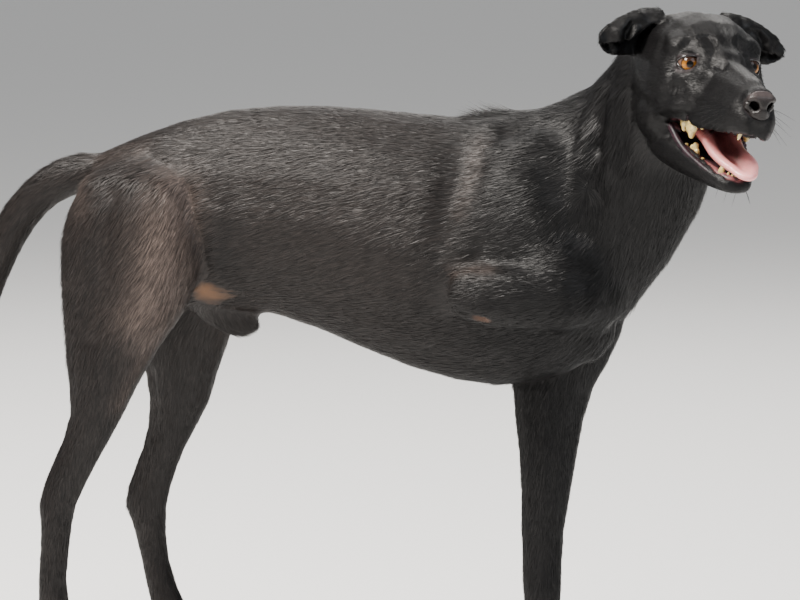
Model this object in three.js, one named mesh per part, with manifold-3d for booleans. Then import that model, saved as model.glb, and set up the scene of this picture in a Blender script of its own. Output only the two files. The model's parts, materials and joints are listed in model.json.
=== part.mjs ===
// A short-coated black dog that stands on three legs, its right foreleg lost at the elbow, as a still,
// life-size model. Millimetres, +X towards the chest, +Y to the dog's left, +Z up, the floor at z = 0.
// Every member is a smooth closed loft. Where two members meet, one keeps its whole shape and the other
// stops a hair's breadth short of it, so that each part is a body of its own.
import * as THREE from "three";
import { mergeVertices } from "three/addons/utils/BufferGeometryUtils.js";
import Module from "manifold-3d";

const wasm = await Module();
wasm.setup();

// ---- Driving dimensions ----
const GAP = 0.35; // between parts that touch
const HEAD_AT = [359.5, -104, 544.5]; // midway between the eyes
const HEAD_YAW = -55.5; // the head looks back past the right shoulder, degrees
const HEAD_ROLL = -4.5; // and its right side is held a little higher
const GAPE = 19; // how far the jaw hangs open, degrees
const JAW_HINGE = [-62, 0, -38]; // in the head's own frame
const EYE_RADIUS = 10.8;
const EYE_AT = [-7, 26.8, -0.8]; // the left eye's centre, in the head's own frame
const EYE_OUTWARD = 22; // how far each eye turns away from straight ahead, degrees
const EAR_THICKNESS = 3;
const PAW_HEIGHT = 44; // the paws are parted from the legs here
const KNEE_HEIGHT = 292; // and the shanks from the thighs
const ELBOW_HEIGHT = 262; // and the forearm from the upper arm
const TOE_SPACING = 11.5;
const CLAW_THICKNESS = 2.7; // half the root of a claw

const LEFT = 1;
const RIGHT = -1;

const COAT = finish(0x171412, 0.5);
const EAR_SKIN = finish(0x1d1917, 0.55);
const LEATHER = finish(0x201c1d, 0.4);
const HORN = finish(0x2c2624, 0.35);
const IRIS = finish(0xb8761f, 0.1);
const TONGUE_PINK = finish(0xdb8b8c, 0.35);
const TOOTH = finish(0xd9c791, 0.3);

function finish(color, roughness) {
  return new THREE.MeshStandardMaterial({ color, roughness, metalness: 0 });
}

// ---- From three.js geometry to solids and back ----
function solid(geometry) {
  geometry.deleteAttribute("normal");
  geometry.deleteAttribute("uv");
  const merged = mergeVertices(geometry, 1e-3);
  const made = (index) =>
    new wasm.Manifold(
      new wasm.Mesh({
        numProp: 3,
        vertProperties: new Float32Array(merged.attributes.position.array),
        triVerts: new Uint32Array(index),
      }),
    );
  const index = Array.from(merged.index.array);
  const outward = made(index);
  // A mirrored shape is turned the right way out.
  return outward.volume() > 0 ? outward : made(index.reverse());
}

function geometryOf(manifold) {
  const mesh = manifold.getMesh();
  const geometry = new THREE.BufferGeometry();
  geometry.setAttribute("position", new THREE.BufferAttribute(mesh.vertProperties, 3));
  geometry.setIndex(new THREE.BufferAttribute(mesh.triVerts, 1));
  geometry.computeVertexNormals();
  return geometry;
}

const union = (...solids) => solids.flat(Infinity).reduce((whole, next) => whole.add(next));
const both = (make) => [make(LEFT), make(RIGHT)];
const radians = THREE.MathUtils.degToRad;

// A placing matrix: roll about X, then pitch about Y, then yaw about Z, in degrees.
function place(at, turn = [0, 0, 0], scale = [1, 1, 1]) {
  const [roll, pitch, yaw] = turn.map(radians);
  const rotation = new THREE.Quaternion().setFromEuler(new THREE.Euler(roll, pitch, yaw, "ZYX"));
  return new THREE.Matrix4().compose(
    new THREE.Vector3(...at),
    rotation,
    new THREE.Vector3(...scale),
  );
}

function moved(manifold, matrix) {
  return manifold.transform([...matrix.elements]);
}

function box(centre, size, turn) {
  return solid(new THREE.BoxGeometry(...size).applyMatrix4(place(centre, turn)));
}

function ball(centre, radii, { turn, grow = 0, sides = 14, rings = 9 } = {}) {
  const grown = radii.map((radius) => radius + grow);
  const geometry = new THREE.SphereGeometry(1, sides, rings);
  return solid(geometry.applyMatrix4(place(centre, turn, grown)));
}

// ---- Lofts ----
// A smooth curve through three-number values that are evenly spaced.
function smooth(values) {
  const points = values.map((value) => new THREE.Vector3(...value));
  return new THREE.CatmullRomCurve3(points, false, "catmullrom", 0.5);
}

// The slices of a loft lie square to X, or level, or square to the body's own path.
const SQUARE_TO_X = () => [new THREE.Vector3(0, 1, 0), new THREE.Vector3(0, 0, 1)];
const LEVEL = () => [new THREE.Vector3(0, -1, 0), new THREE.Vector3(1, 0, 0)];
const SQUARE_TO_PATH = (tangent) => {
  const across = new THREE.Vector3(0, 0, 1).cross(tangent).normalize();
  return [across, tangent.clone().cross(across)];
};

// A closed body. The rows of a sphere become its rings, and the columns go round each ring. A station is
// [centre, [half width, reach up, reach down]]. A power above 2 squares the section, and egg narrows
// its top and bottom.
function loft(stations, options) {
  const { rings, sides, slices = SQUARE_TO_PATH, power = 2, egg = 0, grow = 0 } = options;
  const centres = smooth(stations.map(([centre]) => centre));
  const sizes = smooth(stations.map(([, size]) => size));
  const rounded = (value) => Math.sign(value) * Math.abs(value) ** (2 / power);
  const geometry = new THREE.SphereGeometry(1, sides, rings);
  const position = geometry.attributes.position;
  for (let row = 0; row <= rings; row++) {
    const along = row / rings;
    const tangent = centres.getTangent(along);
    const [across, above] = slices(tangent);
    const [half, up, down] = sizes.getPoint(along).toArray();
    const closed = row === 0 || row === rings;
    const centre = centres.getPoint(along);
    if (closed) centre.addScaledVector(tangent, row === 0 ? -grow : grow);
    for (let column = 0; column <= sides; column++) {
      const angle = (2 * Math.PI * column) / sides;
      const lift = rounded(Math.sin(angle));
      const width = rounded(Math.cos(angle)) * (half + grow) * (1 - egg * lift * lift);
      const height = lift * ((lift > 0 ? up : down) + grow);
      const point = centre.clone();
      if (!closed) point.addScaledVector(across, width).addScaledVector(above, height);
      position.setXYZ(row * (sides + 1) + column, point.x, point.y, point.z);
    }
  }
  return solid(geometry);
}

// Slices of the trunk and head: [x, top, height of the widest place, bottom, half width].
function lengthwise(rows, options) {
  const stations = rows.map(([x, top, wide, bottom, half]) => [
    [x, 0, wide],
    [half, top - wide, wide - bottom],
  ]);
  return loft(stations, { slices: SQUARE_TO_X, ...options });
}

// Slices of a leg: [height, rear, front, middle across, half width].
function upright(rows, options) {
  const stations = rows.map(([z, rear, front, y, half]) => [
    [(rear + front) / 2, y, z],
    [half, (front - rear) / 2, (front - rear) / 2],
  ]);
  return loft(stations, { slices: LEVEL, ...options });
}

// ---- The trunk, neck and tail ----
function trunk(grow = 0) {
  const barrel = lengthwise(
    [
      [-212, 440, 415, 388, 10],
      [-206, 457, 405, 362, 33],
      [-180, 467, 402, 338, 50],
      [-140, 483, 405, 324, 57],
      [-90, 496, 408, 320, 59],
      [-40, 500, 405, 317, 62],
      [10, 500, 398, 299, 69],
      [60, 496, 388, 279, 75],
      [110, 492, 378, 265, 77],
      [155, 497, 373, 260, 74],
      [195, 498, 366, 267, 67],
      [228, 478, 356, 282, 55],
      [246, 425, 346, 300, 38],
      [252, 375, 338, 320, 14],
    ],
    { rings: 16, sides: 16, power: 2.15, egg: 0.12, grow },
  );
  const shoulders = both((side) =>
    ball([188, side * 48, 414], [54, 27, 76], { turn: [side * 10, 20, 0], grow, sides: 11, rings: 7 }),
  );
  return union(barrel, shoulders);
}

function neck(grow = 0) {
  return loft(
    [
      [[150, 0, 395], [44, 72, 80]],
      [[203, 0, 405], [64, 98, 101]],
      [[247, -2, 432], [60, 91, 80]],
      [[281, -10, 473], [56, 75, 64]],
      [[301, -26, 514], [51, 57, 52]],
      [[312, -42, 544], [42, 42, 40]],
      [[318, -50, 560], [16, 16, 16]],
    ],
    { rings: 9, sides: 14, grow },
  );
}

function tail() {
  return loft(
    [
      [[-180, 0, 434], [20, 20, 20]],
      [[-213, 0, 441], [19, 17, 20]],
      [[-241, 0, 434], [16, 16, 17]],
      [[-266, 0, 417], [15, 15, 16]],
      [[-287, 0, 390], [14.5, 15, 15]],
      [[-304, 0, 355], [13.5, 14, 14]],
      [[-318, 0, 315], [11.5, 12, 12]],
      [[-328, 0, 275], [8.5, 9, 9]],
      [[-333, 0, 243], [3.5, 4, 4]],
    ],
    { rings: 14, sides: 9 },
  );
}

function sheath(grow = 0) {
  return loft(
    [
      [[-132, 0, 336], [6, 6, 6]],
      [[-114, 0, 331], [15, 15, 15]],
      [[-92, 0, 320], [17, 17, 18]],
      [[-75, 0, 311], [14, 14, 15]],
      [[-67, 0, 306], [6, 6, 6]],
    ],
    { rings: 8, sides: 10, grow },
  );
}

// ---- The legs ----
function hindLeg(side, grow = 0) {
  const rows = side === RIGHT ? RIGHT_HIND : LEFT_HIND;
  const placed = rows.map(([z, rear, front, y, half]) => [z, rear, front, side * y, half]);
  return upright(placed, { rings: 19, sides: 10, grow });
}

const RIGHT_HIND = [
  [464, -188, -130, 30, 14],
  [432, -214, -106, 40, 29],
  [400, -227, -98, 44, 32],
  [370, -230, -98, 47, 32],
  [335, -228, -111, 51, 30],
  [295, -223, -138, 57, 26],
  [255, -218, -161, 62, 22],
  [228, -217, -174, 65, 19],
  [203, -226, -188, 67, 16],
  [180, -236, -200, 69, 13.5],
  [158, -243, -211, 70, 13.5],
  [138, -242, -216, 71, 13],
  [110, -242, -219, 72, 11.5],
  [80, -244, -221, 73, 12],
  [54, -242, -215, 73, 13.5],
  [32, -236, -204, 73, 15],
  [14, -226, -196, 73, 12],
];

const LEFT_HIND = [
  [464, -184, -124, 30, 14],
  [432, -206, -96, 40, 29],
  [400, -214, -80, 44, 32],
  [370, -212, -75, 47, 32],
  [335, -204, -83, 51, 30],
  [295, -192, -103, 57, 26],
  [255, -181, -119, 62, 22],
  [228, -179, -128, 65, 19],
  [203, -182, -143, 67, 16],
  [180, -190, -154, 69, 13.5],
  [158, -199, -162, 70, 13.5],
  [138, -203, -167, 71, 13],
  [110, -193, -168, 72, 11.5],
  [80, -187, -164, 73, 12],
  [54, -181, -154, 73, 13.5],
  [32, -175, -143, 73, 15],
  [14, -165, -135, 73, 12],
];

function forelegLeft(grow = 0) {
  return upright(
    [
      [430, 178, 226, 44, 16],
      [385, 168, 246, 53, 28],
      [345, 161, 255, 58, 29],
      [310, 156, 250, 58, 28],
      [280, 153, 238, 55, 26],
      [252, 153, 223, 50, 24],
      [216, 158, 214, 43, 21],
      [181, 163, 209, 37, 18.5],
      [137, 165, 202, 30, 16],
      [103, 167, 200, 26, 15],
      [80, 168, 200, 23, 16],
      [56, 171, 200, 20, 14.5],
      [32, 174, 206, 18, 15.5],
      [14, 182, 212, 17, 13],
    ],
    { rings: 16, sides: 10, grow },
  );
}

// All that is left of the right foreleg: the upper arm lies back along the ribs and ends in a round stump.
function stump() {
  return loft(
    [
      [[251, -44, 349], [14, 17, 17]],
      [[232, -58, 348], [26, 30, 32]],
      [[198, -66, 346], [28, 29, 30]],
      [[164, -71, 345], [26, 28, 28]],
      [[142, -74, 345], [23, 25, 24]],
      [[129, -75, 345], [17, 19, 18]],
      [[122, -75, 345], [6, 7, 7]],
    ],
    { rings: 9, sides: 10 },
  );
}

// ---- Paws: four toes round a pad, cut off flat where they stand on the floor ----
const TOES = [-1.5, -0.5, 0.5, 1.5];
const toeReach = (each) => (Math.abs(each) < 1 ? 7 : 0);
const toeAcross = (each) => each * TOE_SPACING;

function toe(each, grow = 0) {
  const reach = toeReach(each);
  const y = toeAcross(each);
  return loft(
    [
      [[-16, y * 0.7, 28], [7, 9, 12]],
      [[0, y * 0.95, 24], [8.2, 9, 16]],
      [[13 + reach, y * 1.05, 17], [8, 8.5, 19]],
      [[22 + reach, y * 1.05, 11], [6.5, 7.5, 13]],
      [[27 + reach, y * 1.05, 7], [3, 4, 8]],
    ],
    { rings: 4, sides: 6, grow },
  );
}

function claw(each) {
  const root = 24 + toeReach(each);
  const y = toeAcross(each) * 1.05;
  const size = CLAW_THICKNESS;
  const horn = loft(
    [
      [[root - 3, y, 12], [size * 0.6, size * 0.7, size * 0.7]],
      [[root, y, 11.5], [size, size * 1.2, size * 1.2]],
      [[root + 6, y, 9], [size * 0.8, size, size]],
      [[root + 11, y, 4.5], [size * 0.35, size * 0.4, size * 0.4]],
    ],
    { rings: 3, sides: 4 },
  );
  return horn.subtract(paw(GAP));
}

function paw(grow = 0) {
  const pad = ball([-6, 0, 9], [18, 18, 16], { grow, sides: 8, rings: 4 });
  const toes = TOES.map((each) => toe(each, grow));
  return union(pad, toes).subtract(box([0, 0, -50], [200, 200, 100]));
}

// ---- The head, in its own frame: +X to the nose, with the eyes at x = 0 and z = 0 ----
function cranium(grow = 0) {
  return lengthwise(
    [
      [-111, 8, -8, -22, 9],
      [-103, 25, -6, -42, 30],
      [-84, 37, -6, -58, 44],
      [-58, 42, -8, -68, 49],
      [-34, 42, -16, -70, 50],
      [-12, 34, -24, -66, 46],
      [6, 19, -30, -60, 37],
      [22, 4, -36, -55, 27],
      [36, -8, -38, -50, 14],
    ],
    { rings: 10, sides: 15, power: 2.25, grow },
  );
}

function muzzle(grow = 0) {
  return lengthwise(
    [
      [-12, 14, -34, -60, 20],
      [4, 11, -37, -60, 31],
      [24, 4, -40, -56, 29],
      [44, -3, -42, -56, 25.5],
      [62, -8, -42, -56, 21],
      [73, -12, -42, -55, 16],
      [79, -20, -42, -52, 10],
      [82, -30, -42, -47, 4],
    ],
    { rings: 8, sides: 11, power: 1.8, grow },
  );
}

// The upper lip hangs in a rounded fold from the corner of the mouth to below the nose.
function upperLip(side, grow = 0) {
  return loft(
    [
      [[6, side * 31, -46], [4, 7, 7]],
      [[22, side * 26, -46], [6.5, 11, 9]],
      [[44, side * 20, -46], [7.5, 13, 11]],
      [[62, side * 14, -45], [8, 14, 12]],
      [[74, side * 8, -44], [7, 12, 12]],
      [[80, side * 2, -43], [3, 7, 8]],
    ],
    { rings: 7, sides: 7, grow },
  );
}

function brow(side, grow = 0) {
  return ball([-20, side * 26, 14], [20, 17, 13], { turn: [0, 24, side * 12], grow, sides: 9, rings: 5 });
}

// The jaw muscle fills the cheek between the skull and the corner of the jaw.
function cheek(side, grow = 0) {
  return ball([-48, side * 33, -48], [26, 14, 24], { turn: [side * -12, 0, 0], grow, sides: 10, rings: 7 });
}

function upperHead(grow = 0) {
  const paired = both((side) => [upperLip(side, grow), brow(side, grow), cheek(side, grow)]);
  return union(cranium(grow), muzzle(grow), paired);
}

function jaw(grow = 0) {
  const form = lengthwise(
    [
      [-76, -50, -60, -70, 12],
      [-58, -44, -64, -81, 34],
      [-30, -41, -62, -82, 37.5],
      [-4, -42, -60, -79, 34],
      [20, -46, -60, -75, 28.5],
      [38, -49, -60, -72, 23],
      [53, -52, -61, -69, 17],
      [62, -54, -61, -66, 11.5],
      [66, -58, -61, -64, 5],
    ],
    { rings: 9, sides: 11, power: 2.3, grow },
  );
  return moved(form, openJaw);
}

// The gape between the lips, the same from side to side.
function gape() {
  const side = new THREE.Shape();
  side.moveTo(-25, -51);
  side.quadraticCurveTo(-24, -47, -12, -47);
  side.bezierCurveTo(6, -47, 20, -56, 50, -57);
  side.quadraticCurveTo(72, -57, 90, -50);
  side.lineTo(110, -50);
  side.lineTo(110, -125);
  side.lineTo(58, -98);
  side.bezierCurveTo(38, -90, 12, -78, -14, -57);
  side.quadraticCurveTo(-22, -53, -25, -51);
  const profile = new THREE.ExtrudeGeometry(side, { depth: 140, bevelEnabled: false, curveSegments: 3 });
  return solid(profile.translate(0, 0, -70).rotateX(Math.PI / 2));
}

// Inside the lips the mouth is deeper.
function mouth() {
  return loft(
    [
      [[-50, 0, -60], [10, 6, 6]],
      [[-40, 0, -60], [24, 13, 12]],
      [[-12, 0, -62], [29, 19, 15]],
      [[20, 0, -68], [23, 25, 20]],
      [[46, 0, -76], [16, 30, 18]],
      [[60, 0, -80], [10, 30, 16]],
      [[66, 0, -80], [4, 24, 8]],
    ],
    { rings: 7, sides: 8, slices: SQUARE_TO_X },
  );
}

function tongue(grow = 0) {
  return loft(
    [
      [[-52, 0, -64], [6, 4, 4]],
      [[-40, 0, -59], [13, 7, 6]],
      [[-14, 0, -57], [17.5, 9, 9]],
      [[6, 0, -63.5], [17.5, 8, 9]],
      [[22, 1, -74], [16.5, 8, 8]],
      [[38, 3, -81.5], [14.5, 7, 7]],
      [[50, 4.5, -86.5], [12.5, 6, 6]],
      [[59, 5, -90], [8, 4, 4]],
      [[63, 5.5, -92], [3, 2, 2]],
    ],
    { rings: 9, sides: 8, grow },
  );
}

function nose(grow = 0) {
  return union(
    ball([76, 0, -27.5], [12, 14.5, 12.5], { grow, sides: 9, rings: 6 }),
    ball([77, 0, -35], [10, 9, 12], { grow, sides: 8, rings: 5 }),
  );
}

function nostrils() {
  return both((side) => ball([86, side * 8.5, -30.5], [6, 3.6, 4.2], { turn: [0, 0, side * 35], sides: 6, rings: 4 }));
}

// ---- Teeth: an arch of gum with the teeth that grow from it ----
function upperGum(options) {
  const leftHalf = [
    [-19, 27.5],
    [8, 26],
    [36, 20.5],
    [60, 13.5],
    [70, 7.5],
    [73, 0],
  ];
  return gumArch(leftHalf, -44, 4, options);
}

function lowerGum(options) {
  const leftHalf = [
    [-29, 22],
    [-2, 20],
    [26, 15],
    [46, 9.5],
    [55, 5.5],
    [58, 0],
  ];
  return gumArch(leftHalf, -57, 3.5, options);
}

function gumArch(leftHalf, z, radius, { grow = 0, up = radius, down = radius } = {}) {
  const rightHalf = leftHalf.slice(0, -1).reverse();
  const stations = [...leftHalf, ...rightHalf.map(([x, y]) => [x, -y])];
  const last = stations.length - 1;
  return loft(
    stations.map(([x, y], i) => {
      const size = i === 0 || i === last ? 0.6 : 1;
      return [
        [x, y, z],
        [radius * size, up * size, down * size],
      ];
    }),
    { rings: 10, sides: 5, grow },
  );
}

// The hollow that a gum and its teeth stand in, as deep as the teeth are long.
const SOCKET = 2;
const upperSocket = () => upperGum({ grow: SOCKET, down: 23 });
const lowerSocket = () => moved(lowerGum({ grow: SOCKET, up: 18 }), openJaw);

// A tooth is a cone, flattened between the cheek and the tongue. A negative length points down.
function tooth([x, y, z], length, [long, wide], grow = 0) {
  const cone = new THREE.ConeGeometry(1, 1, 4).rotateX(Math.PI / 2).translate(0, 0, 0.5);
  const size = [long + grow, wide + grow, Math.abs(length) + 2 * grow];
  return solid(cone.applyMatrix4(place([x, y, z], [length < 0 ? 180 : 0, 0, 0], size)));
}

function upperTeeth() {
  const cheekTeeth = [
    [-4.5, 26.8, 8, 4.5],
    [6, 25.5, 17.5, 7.5],
    [21, 23.5, 8, 4.5],
    [32, 21, 6, 4],
    [43, 18.5, 5, 3.4],
  ];
  const paired = both((side) => [
    ...cheekTeeth.map(([x, y, length, long]) => tooth([x, side * y, -45], -length - 3, [long, 3])),
    tooth([65, side * 11.5, -45], -18, [3.6, 3]),
    tooth([71, side * 6.5, -45], -10, [2.2, 2.2]),
    tooth([73, side * 2.2, -45], -10, [2, 2]),
  ]);
  return union(upperGum(), paired);
}

function lowerTeeth(grow = 0) {
  const cheekTeeth = [
    [-6, 20.5, 7, 4.5],
    [8, 19, 12.5, 7],
    [21, 16.3, 6, 4.2],
    [31, 14, 4, 3.4],
  ];
  const paired = both((side) => [
    ...cheekTeeth.map(([x, y, length, long]) => tooth([x, side * y, -57], length + 3, [long, 2.8], grow)),
    tooth([46, side * 9.5, -57], 9.5, [3.5, 3], grow),
    tooth([53.5, side * 5.8, -57], 7, [2, 2], grow),
    tooth([57, side * 2, -57], 6.5, [1.8, 2], grow),
  ]);
  return union(lowerGum({ grow }), paired);
}

// ---- The ears: a cup that opens forwards, held out sideways, its end folded over and hanging ----
// Each line runs from the ear's root to its tip. They follow one another round the cup, from the lower
// rear edge, up the back and over the fold to the front edge.
const EAR_LINES = [
  [[-74, 40, 2], [-72, 54, 2], [-68, 66, 1], [-63, 76, 2], [-59, 83, 7]],
  [[-82, 38, 24], [-79, 53, 22], [-73, 67, 18], [-66, 79, 14], [-59, 86, 12]],
  [[-68, 28, 42], [-67, 46, 41], [-65, 62, 35], [-61, 77, 27], [-58, 86, 18]],
  [[-50, 32, 34], [-53, 45, 28], [-55, 56, 18], [-56, 68, 12], [-57, 81, 11]],
];

function ear(side) {
  const across = 6;
  const along = 5;
  const lines = EAR_LINES.map(smooth);
  const surface = (u, v) => smooth(lines.map((line) => line.getPoint(u).toArray())).getPoint(v);
  const geometry = new THREE.BoxGeometry(1, 1, 1, along, across, 1);
  const position = geometry.attributes.position;
  for (let i = 0; i < position.count; i++) {
    const u = position.getX(i) + 0.5;
    const v = position.getY(i) + 0.5;
    const face = Math.sign(position.getZ(i));
    const middle = surface(u, v);
    const step = 0.01;
    const overU = surface(Math.min(u + step, 1), v).sub(surface(Math.max(u - step, 0), v));
    const overV = surface(u, Math.min(v + step, 1)).sub(surface(u, Math.max(v - step, 0)));
    const normal = overU.cross(overV).normalize();
    const edge = Math.min(1, 6 * Math.min(v, 1 - v, 1 - u) + 0.45);
    middle.addScaledVector(normal, (face * EAR_THICKNESS * edge) / 2);
    position.setXYZ(i, middle.x, side * middle.y, middle.z);
  }
  return solid(geometry);
}

// ---- Assembly ----
const openJaw = place(JAW_HINGE)
  .multiply(place([0, 0, 0], [0, GAPE, 0]))
  .multiply(place(JAW_HINGE.map((value) => -value)));
const headPlace = place(HEAD_AT, [HEAD_ROLL, 0, HEAD_YAW]);
const onHead = (manifold) => moved(manifold, headPlace);

const dog = new THREE.Group();
dog.name = "dog";

// Only the largest body is kept where a cut leaves crumbs.
function node(name, manifold, material) {
  const bodies = manifold.decompose().sort((a, b) => b.volume() - a.volume());
  const mesh = new THREE.Mesh(geometryOf(bodies[0]), material);
  mesh.name = name;
  dog.add(mesh);
}

// Head: the gums, tongue, eyes and nose sit in hollows of it.
const eyeCentre = (side) => [EYE_AT[0], side * EYE_AT[1], EYE_AT[2]];
const eye = (side, grow = 0) => ball(eyeCentre(side), [EYE_RADIUS, EYE_RADIUS, EYE_RADIUS], { grow, sides: 10, rings: 7 });
const lidOpening = (side) => {
  const turn = radians(EYE_OUTWARD);
  const [x, y, z] = eyeCentre(side);
  const at = [x + 13 * Math.cos(turn), y + side * 13 * Math.sin(turn), z];
  return ball(at, [9, 10, 6.5], { turn: [0, 0, side * EYE_OUTWARD], sides: 8, rings: 5 });
};
const upperFace = upperHead().subtract(jaw(GAP));
const hollows = union(
  gape(),
  mouth(),
  tongue(GAP),
  both((side) => eye(side, GAP)),
  both(lidOpening),
);
const head = upperFace.subtract(hollows).subtract(nose(GAP)).subtract(upperSocket());
const lowerJaw = jaw().subtract(union(gape(), mouth(), tongue(GAP))).subtract(lowerSocket());

node("head", onHead(head), COAT);
node("lower_jaw", onHead(lowerJaw), COAT);
node("nose", onHead(nose().subtract(union(nostrils(), upperSocket()))), LEATHER);
node("tongue", onHead(tongue().subtract(union(upperSocket(), moved(lowerTeeth(GAP), openJaw)))), TONGUE_PINK);
node("upper_gum_and_teeth", onHead(upperTeeth()), TOOTH);
node("lower_gum_and_teeth", onHead(moved(lowerTeeth(), openJaw)), TOOTH);
const trunkGrown = trunk(GAP);
const neckGrown = neck(GAP);
for (const [word, side] of [["left", LEFT], ["right", RIGHT]]) {
  node(`eye_${word}`, onHead(eye(side)), IRIS);
  node(`ear_${word}`, onHead(ear(side).subtract(upperHead(GAP))).subtract(neckGrown), EAR_SKIN);
}

// Body: the trunk keeps its whole shape, and so do the head and thighs where the neck and tail meet them.
const headGrown = onHead(union(upperHead(GAP), jaw(GAP)));
node("trunk", trunk(), COAT);
node("neck", neck().subtract(trunkGrown).subtract(headGrown), COAT);
const rearGrown = union(trunkGrown, hindLeg(LEFT, GAP), hindLeg(RIGHT, GAP));
node("tail", tail().subtract(rearGrown), COAT);
node("sheath", sheath().subtract(rearGrown), COAT);
node("upper_arm_right_stump", stump().subtract(union(trunkGrown, neckGrown)), COAT);

// A leg is cut across at its joints, from the top down, and stands in its paw.
const FAR = 400;
const above = (z) => box([0, 0, z + FAR / 2], [2 * FAR, 2 * FAR, FAR]);
const below = (z) => box([0, 0, z - FAR / 2], [2 * FAR, 2 * FAR, FAR]);

function legNodes(word, foot, { leg, joint, upper, middle, at, across, yaw }) {
  const placed = place([at, across, 0], [0, 0, yaw]);
  const rest = leg.subtract(trunkGrown);
  node(`${upper}_${word}`, rest.subtract(below(joint + GAP / 2)), COAT);
  node(`${middle}_${word}`, rest.subtract(above(joint - GAP / 2)).subtract(below(PAW_HEIGHT + GAP / 2)), COAT);
  const sole = moved(paw(), placed);
  const ankle = rest.subtract(above(PAW_HEIGHT - GAP / 2));
  node(`paw_${foot}_${word}`, union(sole.subtract(above(PAW_HEIGHT - GAP / 2)), ankle), COAT);
  TOES.forEach((each, i) => node(`claw_${foot}_${word}_${i + 1}`, moved(claw(each), placed), HORN));
}

const HIND = { joint: KNEE_HEIGHT, upper: "thigh", middle: "shank" };
const FORE = { joint: ELBOW_HEIGHT, upper: "upper_arm", middle: "forearm" };
legNodes("right", "hind", { ...HIND, leg: hindLeg(RIGHT), at: -208, across: -73, yaw: -4 });
legNodes("left", "hind", { ...HIND, leg: hindLeg(LEFT), at: -147, across: 73, yaw: 4 });
legNodes("left", "fore", { ...FORE, leg: forelegLeft().subtract(neckGrown), at: 198, across: 17, yaw: 2 });

// The origin is on the floor, below the middle of the model.
const bounds = new THREE.Box3().setFromObject(dog);
const middle = bounds.getCenter(new THREE.Vector3());
dog.children.forEach((mesh) => mesh.geometry.translate(-middle.x, -middle.y, -bounds.min.z));

export default dog;
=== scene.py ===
# %% [markdown]
# A black, short-coated dog, life-size, standing on three legs with its head turned and its mouth open.
# Its right foreleg ends in a round stump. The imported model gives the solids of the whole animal, so this
# lesson starts from them: they are blended into one skin, which then gets its muscles, folds and lids,
# and at last a coat of short tufts that lie along the body.

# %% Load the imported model
import json
from math import cos, pi, radians, sin

import bmesh
import bpy
import numpy as np
from mathutils import Matrix, Vector
from mathutils.bvhtree import BVHTree

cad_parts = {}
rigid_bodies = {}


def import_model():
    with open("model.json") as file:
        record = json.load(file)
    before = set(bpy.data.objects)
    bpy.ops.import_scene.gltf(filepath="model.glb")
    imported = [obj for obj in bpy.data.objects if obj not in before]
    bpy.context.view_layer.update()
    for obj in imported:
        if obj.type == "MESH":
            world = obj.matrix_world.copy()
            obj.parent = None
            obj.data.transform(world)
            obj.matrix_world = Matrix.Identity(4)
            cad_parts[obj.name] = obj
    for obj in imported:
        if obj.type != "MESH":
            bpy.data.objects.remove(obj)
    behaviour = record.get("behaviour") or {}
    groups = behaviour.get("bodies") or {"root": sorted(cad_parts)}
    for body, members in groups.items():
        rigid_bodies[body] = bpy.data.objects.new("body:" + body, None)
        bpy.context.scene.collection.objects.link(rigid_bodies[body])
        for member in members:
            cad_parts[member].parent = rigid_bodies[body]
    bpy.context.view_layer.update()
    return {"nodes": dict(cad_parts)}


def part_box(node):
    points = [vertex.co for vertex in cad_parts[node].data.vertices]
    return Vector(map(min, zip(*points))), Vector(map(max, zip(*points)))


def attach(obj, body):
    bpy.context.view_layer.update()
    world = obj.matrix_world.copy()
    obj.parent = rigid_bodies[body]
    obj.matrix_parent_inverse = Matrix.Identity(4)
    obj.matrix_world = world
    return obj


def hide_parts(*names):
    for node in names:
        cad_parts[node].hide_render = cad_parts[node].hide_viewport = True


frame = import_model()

nodes = frame["nodes"]
print("solids:", len(nodes))

# %% [markdown]
# Everything below is measured in millimetres from one point of the dog: on the floor, on its middle
# line, under the loin. The rump end of the trunk lies 212 mm behind that point. The head has axes of its
# own, forwards, to the left and upwards, because it is turned and a little tilted.

# %% The dog's own measures
MM = 0.001
RUMP_BEHIND = 212
trunk_low, trunk_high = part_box("trunk")
dog_origin = np.array([trunk_low.x / MM + RUMP_BEHIND, (trunk_low.y + trunk_high.y) / 2 / MM, 0])

HEAD_YAW = -55.5
HEAD_ROLL = -4.5
EYE_BEHIND = -7
EYE_ACROSS = 26.8
EYE_UP = -0.8
EYE_RADIUS = 10.8
yaw = Matrix.Rotation(radians(HEAD_YAW), 3, "Z")
roll = Matrix.Rotation(radians(HEAD_ROLL), 3, "X")
head_turn = np.array(yaw @ roll)


def corners_of(mesh):
    """A mesh's corners, in millimetres of the dog."""
    corners = np.empty(len(mesh.vertices) * 3, np.float32)
    mesh.vertices.foreach_get("co", corners)
    return corners.reshape(-1, 3) / MM - dog_origin


eye_middles = [corners_of(nodes[name].data).mean(0) for name in ("eye_left", "eye_right")]
eye_middle = (eye_middles[0] + eye_middles[1]) / 2
head_origin = eye_middle - head_turn @ np.array([EYE_BEHIND, 0, EYE_UP])
print("head at", head_origin.round(1))


def from_head(points):
    """Places on the head, as forwards, left, up, turned into places on the dog."""
    return np.asarray(points, float) @ head_turn.T + head_origin


def to_head(points):
    """Places on the dog, turned into places on the head."""
    return (points - head_origin) @ head_turn


# %% [markdown]
# A camera far off with a long lens gives the flat, calm view of a dog portrait. A short lens close by
# would swell the head and shrink the rump. It looks at the right flank, a little from the chest end and
# from just above.

# %% Camera
CAMERA_AZIMUTH = 12
CAMERA_ELEVATION = 5
CAMERA_DISTANCE = 5000
VIEW_WIDTH = 696
SENSOR_WIDTH = 36
FARTHEST_SEEN = 100
LOOK_AT = np.array([62, 0, 332])


def view_direction(azimuth, elevation):
    """The way to a camera or lamp: 0 degrees is the right side, 90 the chest end."""
    turn, rise = radians(azimuth), radians(elevation)
    return np.array([sin(turn) * cos(rise), -cos(turn) * cos(rise), sin(rise)])


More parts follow.
